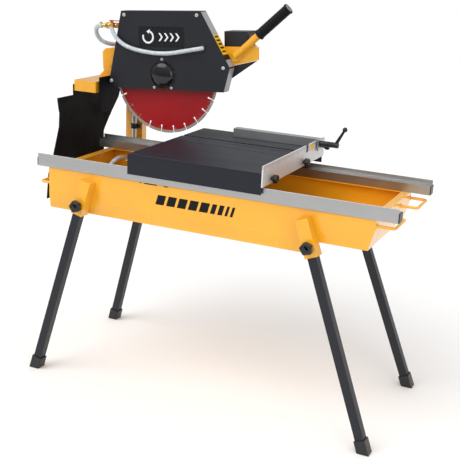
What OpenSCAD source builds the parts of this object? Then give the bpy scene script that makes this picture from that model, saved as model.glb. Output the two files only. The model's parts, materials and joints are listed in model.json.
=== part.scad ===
// Masonry table saw with a water tray, folding-out legs, a rolling table and a tilting cutting head.
// Units are millimetres, +Z is up, +X runs along the rails to the fence end, -Y is the operator's side.

/* [Rails and tray] */
// Length of the two rails
rail_len = 1086; // [900:1:1300]
// Distance over the outer faces of the rails
rail_span = 366; // [300:1:460]
// Height of the rail tubes' upper face above the floor
rail_top = 651; // [560:1:760]
// Height of the upstand on each rail's outer side
rail_lip = 12; // [6:1:20]
// Depth of the tray walls below the rails
tray_wall_h = 85; // [60:1:120]
// Height of the tray's lowest floor above the ground
sump_z = 502; // [460:1:540]

/* [Legs] */
// Side of the square leg tube
leg_w = 25; // [20:1:35]
// Height at which a leg leaves its socket
leg_top_z = 507; // [480:1:540]

/* [Rolling table] */
// Length of the table along the rails
table_len = 407; // [300:1:500]
// Height of the table's upper face
table_z = 702; // [680:1:720]
// Wheel diameter
wheel_d = 28; // [22:1:34]
// Width of the blade slot
slot_w = 10; // [6:1:16]

/* [Cutting head] */
// Diamond blade diameter
blade_d = 350; // [300:1:400]
// Blade thickness
blade_t = 3; // [2:0.2:4]
// Height of the blade's centre with the head at rest
blade_z = 878; // [860:1:900]
// Upward tilt of the head at rest
head_tilt = 3.7; // [0:0.1:8]

/* [View] */
// Show one node, or all

/* [Hidden] */
$fn = 48;

// The overall outline is centred on the origin by this shift
shift_x = 23;
shift_y = -65.3;

yo = rail_span / 2;
tube_w = 31;
tube_h = 26;
rail_bot = rail_top - tube_h;
wall = 3;
tray_y = yo - 5;
tray_x0 = -508;
tray_x1 = 486;
sump_x0 = -508;
sump_x1 = 300;
sump_lean = 6;
shelf_z = rail_bot - tray_wall_h;
// Leg sockets: x at the socket mouth and x at the floor, left pair then right pair
leg_in = [-391, 332];
leg_out = [-526, 526];
leg_yt = 198;
leg_yf = 228;
slack = 0.3;

table_x0 = -234;
table_x1 = table_x0 + table_len;
table_y0 = -193;
table_y1 = 288;
wheel_z = rail_top + wheel_d / 2;
wheel_y = 167;
axle_r = 4;
run = 0.05;
blade_x = -298;
blade_y = 142;
fence_x = table_x1 + 2;

pivot_x = -505;
pivot_z = 905;
pin_r = 10;
// Guide rod in front of the column
rod_x = -517;
rod_y = 330;
rod_r = 8;
beam_x0 = -579;
clamp_bolts = [90, 205, 330];
// Bolts through the pivot stand's plates, and down through its foot
stand_bolts = [[-535, 886], [-514, 865]];
foot_bolts = [-546, -520];
// Cutting head outline, seen from the front, from the blade's centre with the head level
guard_pts = [[-138, 196], [132, 196], [225, 33], [204, -39.5], [-142, -39.5], [-182, -31], [-193, -25]];
guard_in = [[-135.6, 193], [130.2, 193], [221.8, 32.6], [199.3, -45], [-180, -45], [-189.7, -24.5]];
guard_y0 = 118;
guard_ym = 142;
guard_y1 = 157;
arm_t = 8;
hub_z = 5;
// Blade: width of its diamond rim, pitch of its slots and how deep they run
rim_w = 8;
slot_pitch = 15;
slot_turn = 8;
slot_depth = 20;
// Foot of the handle tube and its lean from upright, with the head level
handle_foot = [228.5, 153, 64.4];
handle_lean = 50.5;
// Pivot, seen from the blade's centre with the head level
piv = [-204.8, 40.3];

// Hose routes
supply_pts = [[-505, 314, 905], [-505, 332, 905], [-506, 351, 902], [-509, 368, 893], [-513, 380, 877],
  [-516, 385, 856], [-517, 385, 830], [-517, 385, 790], [-517, 385, 735], [-517, 385, 680],
  [-517, 385, 640], [-514, 385, 617], [-506, 385, 603], [-490, 379, 594], [-477, 359, 590],
  [-470, 325, 590], [-466, 290, 590], [-462, 250, 590], [-458, 212, 591], [-455, 182, 593],
  [-452, 150, 600], [-448, 122, 606], [-444, 96, 607], [-440, 72, 604], [-437.5, 51, 598],
  [-435.8, 37, 589], [-435, 30.6, 580.5], [-435, 30, 573]];
upper_pts = [[-214, 130, 151], [-227, 131, 151], [-239, 134, 145], [-246, 140, 132], [-246, 148, 116],
  [-238, 158, 101], [-226, 171, 93], [-215, 186, 89], [-208, 205, 87], [-205, 226, 86],
  [-205, 248, 85], [-205, 268, 82], [-205, 284, 72], [-205, 292, 58], [-204.8, 298, 47],
  [-204.8, 306, 40.3], [-204.8, 313.6, 40.3]];
spray_pts = [[-172, 112, 146], [-165, 110, 131], [-156, 109, 117], [-143, 108.5, 105], [-122, 108, 92],
  [-99, 108, 84], [-77, 108, 79], [-55, 108, 75.5], [-33, 108, 72.5], [-11, 108, 71],
  [11, 108, 71], [33, 108, 72], [54, 108, 75], [75, 108, 78.5], [96, 108, 82], [114, 108, 85],
  [127, 109, 87], [135, 112.5, 88], [138, 118, 88.5]];

// ---------- helpers ----------
module box(a, b) { translate(a) cube([b[0] - a[0], b[1] - a[1], b[2] - a[2]]); }

// Cylinder along Y from y0 to y1
module ycyl(r, x, z, y0, y1) {
  translate([x, y1, z]) rotate([90, 0, 0]) cylinder(r = r, h = y1 - y0);
}
// Cylinder along X from x0 to x1
module xcyl(r, y, z, x0, x1) {
  translate([x0, y, z]) rotate([0, 90, 0]) cylinder(r = r, h = x1 - x0);
}
// Outline in the XZ plane given a thickness from y0 to y1
module yplate(pts, y0, y1) {
  translate([0, y1, 0]) rotate([90, 0, 0]) linear_extrude(height = y1 - y0) polygon(pts);
}
// Place of the cutting head: local x and z from the blade's centre, y unchanged
module head() { translate([blade_x, 0, blade_z]) rotate([0, -head_tilt, 0]) children(); }

// A leg's own place, with its axis up along Z from the floor
module leg_at(i, s) {
  dx = leg_in[i] - leg_out[i];
  dy = leg_yf - leg_yt;
  len = sqrt(dx * dx + dy * dy + leg_top_z * leg_top_z);
  translate([leg_out[i], s * leg_yf, 0])
    rotate([s * asin(dy / len), atan2(dx, leg_top_z), 0]) children();
}
function leg_len(i) = sqrt(pow(leg_in[i] - leg_out[i], 2) + pow(leg_yf - leg_yt, 2) + leg_top_z * leg_top_z);

// Unit vectors and rings for a swept hose
function unit(v) = v / norm(v);
function tangent(p, i) = unit(p[min(i + 1, len(p) - 1)] - p[max(i - 1, 0)]);
function side(t) = unit(cross(t, abs(t[0]) < 0.8 ? [1, 0, 0] : [0, 0, 1]));
function carry(p, i) = i == 0 ? side(tangent(p, 0)) :
  let(a = carry(p, i - 1), t = tangent(p, i)) unit(a - t * (a * t));
function ring(p, i, r, n) = let(t = tangent(p, i), a = carry(p, i), b = cross(t, a))
  [for (k = [0 : n - 1]) p[i] + r * (a * cos(360 * k / n) + b * sin(360 * k / n))];
module hose(p, r, n = 10) {
  m = len(p);
  pts = [for (i = [0 : m - 1]) each ring(p, i, r, n)];
  sides = [for (i = [0 : m - 2]) for (k = [0 : n - 1])
    [i * n + k, i * n + (k + 1) % n, (i + 1) * n + (k + 1) % n, (i + 1) * n + k]];
  polyhedron(points = pts, faces = concat([[for (k = [n - 1 : -1 : 0]) k]], sides,
    [[for (k = [0 : n - 1]) (m - 1) * n + k]]));
}

// Star knob turned about Z: lobed head standing from z = h0 to h1 with a stud down to z = -st
module star(r, h0, h1, sr, st, n = 5) {
  difference() {
    union() {
      translate([0, 0, h0]) cylinder(r = r, h = h1 - h0);
      translate([0, 0, h0 - 4]) cylinder(r = r * 0.55, h = 5);
      translate([0, 0, -st]) cylinder(r = sr, h = st + h0);
    }
    for (k = [0 : n - 1]) rotate([0, 0, 360 * k / n])
      translate([r * 1.22, 0, h0 - 0.1]) cylinder(r = r * 0.42, h = h1 - h0 + 0.2);
  }
}

// ---------- fixed frame ----------
module water_tray() color("orange") {
  difference() {
    union() {
      // shallow trough with a right end that slopes in towards its floor
      yplate([[tray_x0, rail_bot], [tray_x1, rail_bot], [tray_x1, 600], [470, shelf_z], [tray_x0, shelf_z]],
        -tray_y, tray_y);
      // deep sump with inward leaning long sides
      rotate([90, 0, 90]) translate([0, 0, sump_x0])
        linear_extrude(height = sump_x1 - sump_x0)
        polygon([[-tray_y, shelf_z + 0.01], [tray_y, shelf_z + 0.01], [tray_y - sump_lean, sump_z],
          [sump_lean - tray_y, sump_z]]);
    }
    // hollow of the trough
    yplate([[tray_x0 + wall, rail_bot - wall], [tray_x1 - wall, rail_bot - wall], [tray_x1 - wall, 600.6],
      [467.5, shelf_z + wall], [tray_x0 + wall, shelf_z + wall]], wall - tray_y, tray_y - wall);
    // hollow of the sump
    rotate([90, 0, 90]) translate([0, 0, sump_x0 + wall])
      linear_extrude(height = sump_x1 - sump_x0 - 2 * wall)
      polygon([[wall - tray_y, shelf_z + wall + 0.1], [tray_y - wall, shelf_z + wall + 0.1],
        [tray_y - wall, shelf_z], [tray_y - sump_lean - wall, sump_z + wall],
        [sump_lean + wall - tray_y, sump_z + wall], [wall - tray_y, shelf_z]]);
    // open top, leaving a flange under each rail and at the ends
    box([tray_x0 + 22, -yo + tube_w, rail_bot - 10], [tray_x1 - 22, yo - tube_w, rail_bot + 1]);
    // hose hole in the rear wall
    ycyl(10, -455, 593, tray_y - 6, tray_y + 3);
  }
}

module rail(s) {
  difference() {
    union() {
      box([-rail_len / 2, min(s * yo, s * (yo - tube_w)), rail_bot],
        [rail_len / 2, max(s * yo, s * (yo - tube_w)), rail_top]);
      box([-rail_len / 2, min(s * yo, s * (yo - 3)), rail_top - 1],
        [rail_len / 2, max(s * yo, s * (yo - 3)), rail_top + rail_lip]);
    }
    box([-rail_len / 2 - 1, min(s * (yo - 2.5), s * (yo - tube_w + 2.5)), rail_bot + 2.5],
      [rail_len / 2 + 1, max(s * (yo - 2.5), s * (yo - tube_w + 2.5)), rail_top - 2.5]);
  }
}
module rail_front() color("silver") rail(-1);
module rail_rear() color("silver") rail(1);

module rail_end_caps() color("dimgray")
  for (e = [-1, 1]) for (s = [-1, 1]) {
    x0 = e * rail_len / 2;
    yc = s * (yo - tube_w / 2);
    box([min(x0, x0 + e * 3), yc - tube_w / 2, rail_bot], [max(x0, x0 + e * 3), yc + tube_w / 2, rail_top]);
    box([min(x0 - e * 14, x0 + e), yc - 12.8, rail_bot + 2.7],
      [max(x0 - e * 14, x0 + e), yc + 12.8, rail_top - 2.7]);
  }

module leg_sockets() color("orange")
  for (i = [0, 1]) for (s = [-1, 1]) difference() {
    leg_at(i, s) {
      L = leg_len(i);
      box([-18, s > 0 ? -34 : -17, L - 2], [18, s > 0 ? 17 : 34, L + 102]);
    }
    leg_at(i, s) {
      L = leg_len(i);
      box([-leg_w / 2 - slack, -leg_w / 2 - slack, L - 10], [leg_w / 2 + slack, leg_w / 2 + slack, L + 98]);
      // clamp screw hole through the outer face
      translate([0, s * 12, L + 26]) rotate([s * -90, 0, 0]) cylinder(r = 5, h = 8);
    }
    // flat back against the tray wall
    box([-700, s > 0 ? 0 : -tray_y, 400], [700, s > 0 ? tray_y : 0, 700]);
  }

module carry_handles() color("orange")
  for (e = [-1, 1]) for (s = [-1, 1]) {
    xw = e > 0 ? tray_x1 : tray_x0;
    za = e > 0 ? 606 : 575;
    xo = e > 0 ? 533 : -542;
    y0 = s * 66;
    y1 = s * 168;
    xcyl(4, y0, za, min(xw, xo), max(xw, xo));
    xcyl(4, y1, za, min(xw, xo), max(xw, xo));
    ycyl(4.4, xo, za, min(y0, y1) - 4.6, max(y0, y1) + 4.6);
  }

module column() color("orange") {
  // box-section upright
  difference() {
    box([-560, 345, 598], [-496, 375, 814]);
    box([-556.5, 348.5, 602], [-499.5, 371.5, 815]);
  }
  // cross arm from the tray's rear wall
  difference() {
    box([-556, tray_y, 560], [-500, 375, 600]);
    box([-552.5, tray_y - 1, 563.5], [-503.5, 371, 596.5]);
  }
  // lugs for the guide rod
  for (z = [612, 788]) difference() {
    box([rod_x - 13, rod_y - 11, z], [rod_x + 13, 346, z + 14]);
    translate([rod_x, rod_y, z - 1]) cylinder(r = rod_r + run, h = 16);
  }
}

module pivot_beam() color("orange")
  difference() {
    box([beam_x0, 60, 814], [beam_x0 + 78, 375, 848]);
    box([beam_x0 + 4, 64, 818], [beam_x0 + 74, 371, 844]);
    // bolt holes on the left face
    for (y = clamp_bolts) xcyl(4.2, y, 824, beam_x0 - 2, beam_x0 + 5);
  }

module pivot_stand() color("orange") {
  difference() {
    union() {
      for (y = [182, 250])
        yplate([[-566, 848], [-543, 874], [-543, 905], [-530, 930], [-486, 930], [-478, 902], [-486, 870],
          [-502, 848]],
          y, y + 8);
      ycyl(20, pivot_x, pivot_z, 171, 260);
    }
    ycyl(pin_r + run, pivot_x, pivot_z, 170, 270);
    for (p = stand_bolts) ycyl(4.2, p[0], p[1], 170, 270);
  }
  // foot block between the plates
  difference() {
    box([-560, 190, 848], [-506, 250, 856]);
    for (x = foot_bolts) translate([x, 220, 840]) cylinder(r = 4.2, h = 30);
  }
}

// Bolt along Y with a hexagon head
module ybolt(x, z, y0, y1) {
  ycyl(4, x, z, y0, y1);
  translate([x, y0, z]) rotate([90, 0, 0]) cylinder(r = 7.5, h = 5, $fn = 6);
}
module frame_bolts() color("gainsboro") {
  for (p = stand_bolts) for (y = [182, 250]) ybolt(p[0], p[1], y, y + 10);
  for (y = clamp_bolts) {
    xcyl(4, y, 824, beam_x0 - 10, beam_x0 + 8);
    translate([beam_x0 - 8, y, 824]) rotate([0, -90, 0]) cylinder(r = 7.5, h = 5, $fn = 6);
  }
  for (x = foot_bolts) {
    translate([x, 220, 848.1]) cylinder(r = 4, h = 9);
    translate([x, 220, 856]) cylinder(r = 7.5, h = 5, $fn = 6);
  }
}

module splash_curtain() color("dimgray")
  difference() {
    rotate([90, 0, 90]) translate([0, 0, beam_x0 - 4]) linear_extrude(height = 4)
      polygon([[-28, 800], [58, 800], [58, 834], [350, 834], [338, 760], [290, 714], [236, 660], [229, 585],
        [200, 500], [-98, 500], [-84, 574], [-70, 596], [-50, 636], [-14, 710], [-8, 751]]);
    for (y = clamp_bolts) xcyl(4.2, y, 824, beam_x0 - 6, beam_x0 + 2);
  }

module curtain_clamp() color("orange")
  difference() {
    box([beam_x0 - 8, 62, 803], [beam_x0 - 4, 347, 832]);
    for (y = clamp_bolts) xcyl(4.2, y, 824, beam_x0 - 10, beam_x0 - 2);
  }

module guide_rod() color("silver") translate([rod_x, rod_y, 608]) cylinder(r = rod_r, h = 198);

module water_pump() color("dimgray") {
  box([-475, -18, sump_z + wall], [-395, 42, 548]);
  translate([-435, 30, 547]) cylinder(r = 9, h = 12);
  translate([-435, 30, 558]) cylinder(r = 5.5, h = 12);
  for (k = [0 : 5]) box([-395.5, -12 + 9 * k, 512], [-392, -9 + 9 * k, 540]);
}

module supply_hose() color("whitesmoke") hose(supply_pts, 7);

// ---------- legs ----------
module leg(i, s) color("dimgray")
  leg_at(i, s) difference() {
    box([-leg_w / 2, -leg_w / 2, 6], [leg_w / 2, leg_w / 2, leg_len(i) + 97]);
    box([-leg_w / 2 + 2, -leg_w / 2 + 2, 5], [leg_w / 2 - 2, leg_w / 2 - 2, leg_len(i) + 98]);
  }
module leg_fl() leg(0, -1);
module leg_fr() leg(1, -1);
module leg_rl() leg(0, 1);
module leg_rr() leg(1, 1);

module foot(i, s) color("dimgray")
  difference() {
    leg_at(i, s) box([-16, -16, -20], [16, 16, 38]);
    leg_at(i, s) difference() {
      box([-leg_w / 2, -leg_w / 2, 6], [leg_w / 2, leg_w / 2, 60]);
      box([-leg_w / 2 + 2, -leg_w / 2 + 2, 5], [leg_w / 2 - 2, leg_w / 2 - 2, 20]);
    }
    box([-700, -400, -60], [700, 400, 0]);
  }
module foot_fl() foot(0, -1);
module foot_fr() foot(1, -1);
module foot_rl() foot(0, 1);
module foot_rr() foot(1, 1);

module leg_knob(i, s) color("dimgray")
  leg_at(i, s) translate([0, s * 17, leg_len(i) + 26]) rotate([s * -90, 0, 0])
    star(18, 5, 22, 4, 3.8);
module leg_knob_fl() leg_knob(0, -1);
module leg_knob_fr() leg_knob(1, -1);
module leg_knob_rl() leg_knob(0, 1);
module leg_knob_rr() leg_knob(1, 1);

// ---------- rolling table ----------
module table_frame() color("dimgray") {
  difference() {
    union() {
      // deck
      box([table_x0, table_y0, table_z - 6], [table_x1, table_y1, table_z]);
      // long skirts
      box([table_x0, table_y0, 645], [table_x1, table_y0 + 3, table_z - 5]);
      box([table_x0, table_y1 - 3, 645], [table_x1, table_y1, table_z - 5]);
      // end skirts
      box([table_x0, table_y0 + 2, 668], [table_x0 + 3, table_y1 - 2, table_z - 5]);
      box([table_x1 - 3, table_y0 + 2, 668], [table_x1, table_y1 - 2, table_z - 5]);
      // bearer web beside the slot
      box([table_x0 + 2, blade_y - 14, 684], [table_x1 - 2, blade_y - 11, table_z - 5]);
      // wheel brackets
      for (x = [table_x0 + 44, table_x1 - 44]) for (s = [-1, 1])
        box([x - 22, s > 0 ? wheel_y - 13 : -wheel_y + 9, wheel_z - 9],
          [x + 22, s > 0 ? wheel_y - 9 : -wheel_y + 13, table_z - 5]);
    }
    // blade slot, open at the left end
    box([table_x0 - 1, blade_y - slot_w / 2, 660], [table_x1 - 22, blade_y + slot_w / 2, table_z + 1]);
    // shallow grooves in the deck
    for (y = [table_y0 + 9, 56, 112])
      box([table_x0 - 1, y, table_z - 1.5], [table_x1 + 1, y + 3, table_z + 1]);
    // holes for the fence screws
    for (y = [-134, 108]) xcyl(3.3, y, 680, table_x1 - 6, table_x1 + 6);
  }
  // wheel axles
  for (x = [table_x0 + 44, table_x1 - 44]) for (s = [-1, 1])
    ycyl(axle_r, x, wheel_z, s > 0 ? wheel_y - 10 : -wheel_y - 8, s > 0 ? wheel_y + 8 : -wheel_y + 10);
}

module fence_plate() color("silver")
  difference() {
    box([table_x1, table_y0 - 1, 666], [table_x1 + 4, table_y1 + 2, 724]);
    // blade notch
    box([table_x1 - 1, blade_y - 13, table_z - 1], [table_x1 + 5, blade_y + 15, 730]);
    for (y = [-134, 108]) xcyl(3.3, y, 680, table_x1 - 1, table_x1 + 5);
  }

module fence_knob(y) color("dimgray") translate([table_x1 + 4, y, 680]) rotate([0, 90, 0])
  star(12.5, 6, 19, 3, 12);
module fence_knob_front() fence_knob(-134);
module fence_knob_rear() fence_knob(108);

module side_stop() color("silver") {
  difference() {
    box([-98, 218, table_z + 0.6], [table_x1 - 1, 246, table_z + 27]);
    box([-99, 220.5, table_z + 3], [table_x1 - 12, 243.5, table_z + 24.5]);
  }
  // hook over the fence
  box([table_x1 - 2, 218, 725.4], [table_x1 + 12, 246, table_z + 27]);
  difference() {
    box([table_x1 + 8, 212, 694], [table_x1 + 12, 248, table_z + 27]);
    xcyl(5 + run, 225, 716, table_x1 + 5, table_x1 + 14);
    xcyl(3 + run, 239, 704, table_x1 + 5, table_x1 + 14);
  }
}

module stop_lever() color("dimgray") {
  xcyl(5, 225, 716, table_x1 + 4.5, table_x1 + 14);
  xcyl(8.5, 225, 716, table_x1 + 12.3, table_x1 + 70);
  translate([table_x1 + 61, 225, 718]) rotate([0, 28, 0]) {
    cylinder(r1 = 5.5, r2 = 4, h = 52);
    translate([0, 0, 54]) sphere(r = 7.5);
  }
}

module stop_knob() color("dimgray") translate([table_x1 + 12, 239, 704]) rotate([0, 90, 0])
  star(8.5, 13, 25, 3, 7, 4);

module wheel(x, s) color("dimgray")
  difference() {
    ycyl(wheel_d / 2, x, wheel_z, s * wheel_y - 6, s * wheel_y + 6);
    ycyl(axle_r + run, x, wheel_z, s * wheel_y - 8, s * wheel_y + 8);
  }
module wheel_fl() wheel(table_x0 + 44, -1);
module wheel_fr() wheel(table_x1 - 44, -1);
module wheel_rl() wheel(table_x0 + 44, 1);
module wheel_rr() wheel(table_x1 - 44, 1);

// ---------- cutting head ----------
module swing_arm() color("orange") head() {
  difference() {
    union() {
      // main side plate
      yplate([[-236, 12], [-236, 67], [-225, 78], [-110, 92], [300, 92], [300, 55], [212, 35], [150, 30],
        [95, -82], [-95, -82], [-150, 0]], guard_y1, guard_y1 + arm_t);
      // rear pivot ear and its tie plates
      yplate([[-228, 15], [-228, 66], [-184, 66], [-92, 60], [-92, 20], [-184, 15]], 262, 268);
      box([-96, guard_y1 + arm_t - 1, 20], [-90, 263, 60]);
      // top flange under the switch box
      box([176, guard_y1 + arm_t - 1, 88], [268, 226, 92]);
      // handle tube and its foot plate
      translate(handle_foot) rotate([0, handle_lean, 0]) cylinder(r = 11, h = 104);
      yplate([[219, 50], [219, 68], [240, 91], [268, 91], [272, 85], [236, 50]], 152, 158);
    }
    // shaft opening
    ycyl(32, 0, 0, guard_y1 - 5, guard_y1 + arm_t + 5);
    for (a = [45, 135, 225, 315]) ycyl(4.2, 72 * cos(a), 72 * sin(a), guard_y1 - 5, guard_y1 + arm_t + 5);
  }
  // pivot pin
  ycyl(pin_r, piv[0], piv[1], guard_y1 - 5, 272);
  ycyl(14, piv[0], piv[1], guard_y1 - 8, guard_y1 + 1);
  ycyl(14, piv[0], piv[1], 268, 274);
}

module guard_body() color("dimgray") head() {
  difference() {
    yplate(guard_pts, guard_ym + 0.5, guard_y1);
    yplate(guard_in, guard_ym, guard_y1 - wall);
    ycyl(34, 0, 0, guard_y1 - 5, guard_y1 + 5);
  }
  // gusset under the arm's right end
  yplate([[205, 33], [300, 54], [208, -6]], guard_y1 - wall, guard_y1);
}

module guard_cover() color("dimgray") head()
  difference() {
    yplate(guard_pts, guard_y0, guard_ym);
    yplate(guard_in, guard_y0 + wall, guard_ym + 1);
    for (p = cover_screw_pts()) ycyl(3.2, p[0], p[1], guard_y0 - 1, guard_y0 + 5);
    // hose hole
    ycyl(8, 138, 88.5, guard_y0 - 1, guard_y0 + 5);
  }
// x, z and head radius: four at the corners, three round the hub cap
function cover_screw_pts() = concat(
  [[-127, 184, 5.4], [121, 184, 5.4], [205, 32, 5.4], [-182, -17, 5.4]],
  [for (a = [90, 232, 308]) [48 * cos(a), hub_z + 48 * sin(a), 4.4]]);
module cover_screws() color("gainsboro") head()
  for (p = cover_screw_pts()) {
    ycyl(3.1, p[0], p[1], guard_y0 - 1, guard_y0 + 9);
    ycyl(p[2], p[0], p[1], guard_y0 - 4, guard_y0);
  }

module guard_flap() color("dimgray") head()
  rotate([90, 0, 90]) translate([0, 0, -196.6]) linear_extrude(height = 3)
    polygon([[67, -112], [128, -112], [178, -46], [178, -3], [67, -3]]);

module hub_cap() color("dimgray") head() translate([0, guard_y0, hub_z]) rotate([90, 0, 0])
  rotate_extrude() polygon([[0, 0], [43, 0], [43, 3], [40, 7.5], [32, 12], [19, 15.6], [0, 17]]);

module motor_housing() color("dimgray") head()
  difference() {
    union() {
      ycyl(70, 0, 0, guard_y1 + arm_t, guard_y1 + arm_t + 12);
      ycyl(62, 0, 0, guard_y1 + arm_t + 11, 340);
      for (a = [0 : 15 : 345]) rotate([0, a, 0]) box([58, 190, -1.2], [69.5, 336, 1.2]);
      // terminal box
      box([-38, 214, 55], [38, 292, 84]);
    }
    ycyl(12.5 + run, 0, 0, guard_y1 + arm_t - 2, 345);
    // screw holes
    for (a = [45, 135, 225, 315])
      ycyl(3, 58 * cos(a), 58 * sin(a), guard_y1 + arm_t - 2, guard_y1 + arm_t + 8);
  }

module fan_cover() color("dimgray") head()
  difference() {
    translate([0, 338, 0]) rotate([-90, 0, 0]) rotate_extrude()
      polygon([[62.2, 0], [71, 0], [71, 26], [64, 33], [0, 33], [0, 31], [63, 31], [69, 25], [69, 2],
        [62.2, 2]]);
    for (r = [18, 30, 42, 54]) for (a = [0 : 30 : 330])
      ycyl(3.2, r * cos(a + r), r * sin(a + r), 365, 375);
  }

module handle_grip() color("dimgray") head() translate(handle_foot) rotate([0, handle_lean, 0])
  difference() {
    union() {
      translate([0, 0, 98]) cylinder(r = 15, h = 122);
      for (z = [98, 214]) translate([0, 0, z]) cylinder(r = 16.5, h = 6);
    }
    translate([0, 0, 90]) cylinder(r = 11 + run, h = 14);
  }

module switch_box() color("dimgray") head() {
  difference() {
    box([186, 168, 92], [262, 226, 136]);
    xcyl(6.4, 184, 114, 245, 264);
    xcyl(6.4, 210, 114, 245, 264);
  }
  // power inlet on the back
  ycyl(15, 224, 114, 225.5, 250);
}

module stop_button() color("red") head() {
  xcyl(6, 184, 114, 252, 268);
  xcyl(11, 184, 114, 267, 275);
}
module start_button() color("green") head() {
  xcyl(6, 210, 114, 252, 267);
}

module valve_body() color("goldenrod") head() {
  xcyl(8, 130, 151, -208, -153);
  xcyl(5.6, 130, 151, -213.9, -207);
  translate([-172, 130, 151]) rotate([78, 0, 0]) cylinder(r = 6.5, h = 15);
  xcyl(11, 130, 151, -184, -176);
  translate([-180, 130, 151]) cylinder(r = 5, h = 12);
  // saddle on the guard's side
  yplate([[-160, 143], [-151.25, 143], [-147.27, 159], [-160, 159]], 122, 138);
}
module valve_lever() color("red") head() translate([-180, 130, 163]) {
  translate([-7, -5, 0.2]) cube([37, 10, 3]);
  translate([0, 0, 0.2]) cylinder(r = 7, h = 4);
}

module spray_hose() color("whitesmoke") head() hose(spray_pts, 6.5);
module upper_hose() color("whitesmoke") head() hose(upper_pts, 7);

// ---------- rotor ----------
module blade_core() color("red") head()
  difference() {
    ycyl(blade_d / 2 - rim_w, 0, 0, blade_y - 1.2, blade_y + 1.2);
    ycyl(12.5, 0, 0, blade_y - 3, blade_y + 3);
    for (a = [slot_turn : slot_pitch : 359]) rotate([0, a, 0]) {
      box([blade_d / 2 - slot_depth, blade_y - 3, -1.6], [blade_d / 2 - rim_w + 1, blade_y + 3, 1.6]);
      // round relief at the slot's inner end
      ycyl(2.9, blade_d / 2 - slot_depth, 0, blade_y - 3, blade_y + 3);
    }
  }
module blade_rim() color("gray") head()
  difference() {
    ycyl(blade_d / 2, 0, 0, blade_y - blade_t / 2, blade_y + blade_t / 2);
    ycyl(blade_d / 2 - rim_w, 0, 0, blade_y - 3, blade_y + 3);
    for (a = [slot_turn : slot_pitch : 359]) rotate([0, a, 0])
      box([blade_d / 2 - rim_w + 2, blade_y - 3, -1.6], [blade_d / 2 + 2, blade_y + 3, 1.6]);
  }
module blade_flange() color("silver") head()
  difference() {
    union() {
      ycyl(34, 0, 0, blade_y - 7.2, blade_y - 1.2);
      translate([0, blade_y - 7, 0]) rotate([90, 0, 0]) cylinder(r = 19, h = 10, $fn = 6);
    }
    ycyl(12.5, 0, 0, 120, blade_y + 1);
  }
module motor_shaft() color("silver") head() {
  ycyl(12.5, 0, 0, 122.5, 344);
  ycyl(34, 0, 0, blade_y + 1.2, blade_y + 8);
  ycyl(24, 0, 0, blade_y + 7, blade_y + 18);
  // cooling fan behind the motor
  ycyl(20, 0, 0, 344, 366);
  for (a = [0 : 45 : 315]) rotate([0, a, 0]) box([15, 346, -1.5], [54, 364, 1.5]);
}

// ---------- stop collar on the guide rod ----------
module stop_collar() color("dimgray")
  difference() {
    translate([rod_x, rod_y, 661]) cylinder(r = 13, h = 16);
    translate([rod_x, rod_y, 650]) cylinder(r = rod_r + run, h = 40);
    xcyl(3 + run, rod_y, 669, rod_x + 7, rod_x + 18);
  }
module collar_screw() color("dimgray") translate([rod_x + 13, rod_y, 669]) rotate([0, 90, 0])
  star(8, 4, 12, 3, 4.8, 4);

// ---------- all nodes ----------
translate([shift_x, shift_y, 0]) {
  water_tray();
  rail_front();
  rail_rear();
  rail_end_caps();
  leg_sockets();
  carry_handles();
  column();
  pivot_beam();
  pivot_stand();
  frame_bolts();
  splash_curtain();
  curtain_clamp();
  guide_rod();
  water_pump();
  supply_hose();
  leg_fl();
  leg_fr();
  leg_rl();
  leg_rr();
  foot_fl();
  foot_fr();
  foot_rl();
  foot_rr();
  leg_knob_fl();
  leg_knob_fr();
  leg_knob_rl();
  leg_knob_rr();
  table_frame();
  fence_plate();
  fence_knob_front();
  fence_knob_rear();
  side_stop();
  stop_lever();
  stop_knob();
  wheel_fl();
  wheel_fr();
  wheel_rl();
  wheel_rr();
  swing_arm();
  guard_body();
  guard_cover();
  cover_screws();
  guard_flap();
  hub_cap();
  motor_housing();
  fan_cover();
  handle_grip();
  switch_box();
  stop_button();
  start_button();
  valve_body();
  valve_lever();
  spray_hose();
  upper_hose();
  blade_core();
  blade_rim();
  blade_flange();
  motor_shaft();
  stop_collar();
  collar_screw();
}
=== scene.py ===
import json
import math

import bmesh
import bpy
from bpy.props import FloatProperty, FloatVectorProperty, IntProperty, PointerProperty
from mathutils import Matrix, Vector


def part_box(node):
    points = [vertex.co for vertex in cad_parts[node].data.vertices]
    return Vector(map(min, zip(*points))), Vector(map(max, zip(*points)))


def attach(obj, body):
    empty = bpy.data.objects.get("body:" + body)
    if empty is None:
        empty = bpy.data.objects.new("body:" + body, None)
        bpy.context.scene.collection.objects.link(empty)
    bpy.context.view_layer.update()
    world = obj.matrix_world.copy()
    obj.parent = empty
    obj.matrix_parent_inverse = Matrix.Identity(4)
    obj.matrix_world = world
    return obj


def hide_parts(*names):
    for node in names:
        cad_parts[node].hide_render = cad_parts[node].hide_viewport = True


bl_info = {
    "name": "Wet masonry saw",
    "version": (1, 0, 0),
    "blender": (4, 5, 0),
    "location": "3D View > Sidebar > Saw",
    "description": "Dresses a wet masonry table saw: painted tray, rails, rolling table, head and blade",
    "category": "Object",
}

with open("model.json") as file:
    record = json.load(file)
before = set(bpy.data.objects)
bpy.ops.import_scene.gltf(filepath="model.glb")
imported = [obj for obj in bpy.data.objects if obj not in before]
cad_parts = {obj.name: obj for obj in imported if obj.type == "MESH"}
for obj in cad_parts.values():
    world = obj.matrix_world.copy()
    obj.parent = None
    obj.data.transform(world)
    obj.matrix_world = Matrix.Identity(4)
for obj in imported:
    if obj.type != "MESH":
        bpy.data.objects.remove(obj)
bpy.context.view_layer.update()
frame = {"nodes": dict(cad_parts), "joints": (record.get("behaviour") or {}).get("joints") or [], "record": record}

def box_centre(node):
    low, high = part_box(node)
    return (low + high) / 2


def joint(name):
    return next(j for j in frame["joints"] if j["name"] == name)


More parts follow.
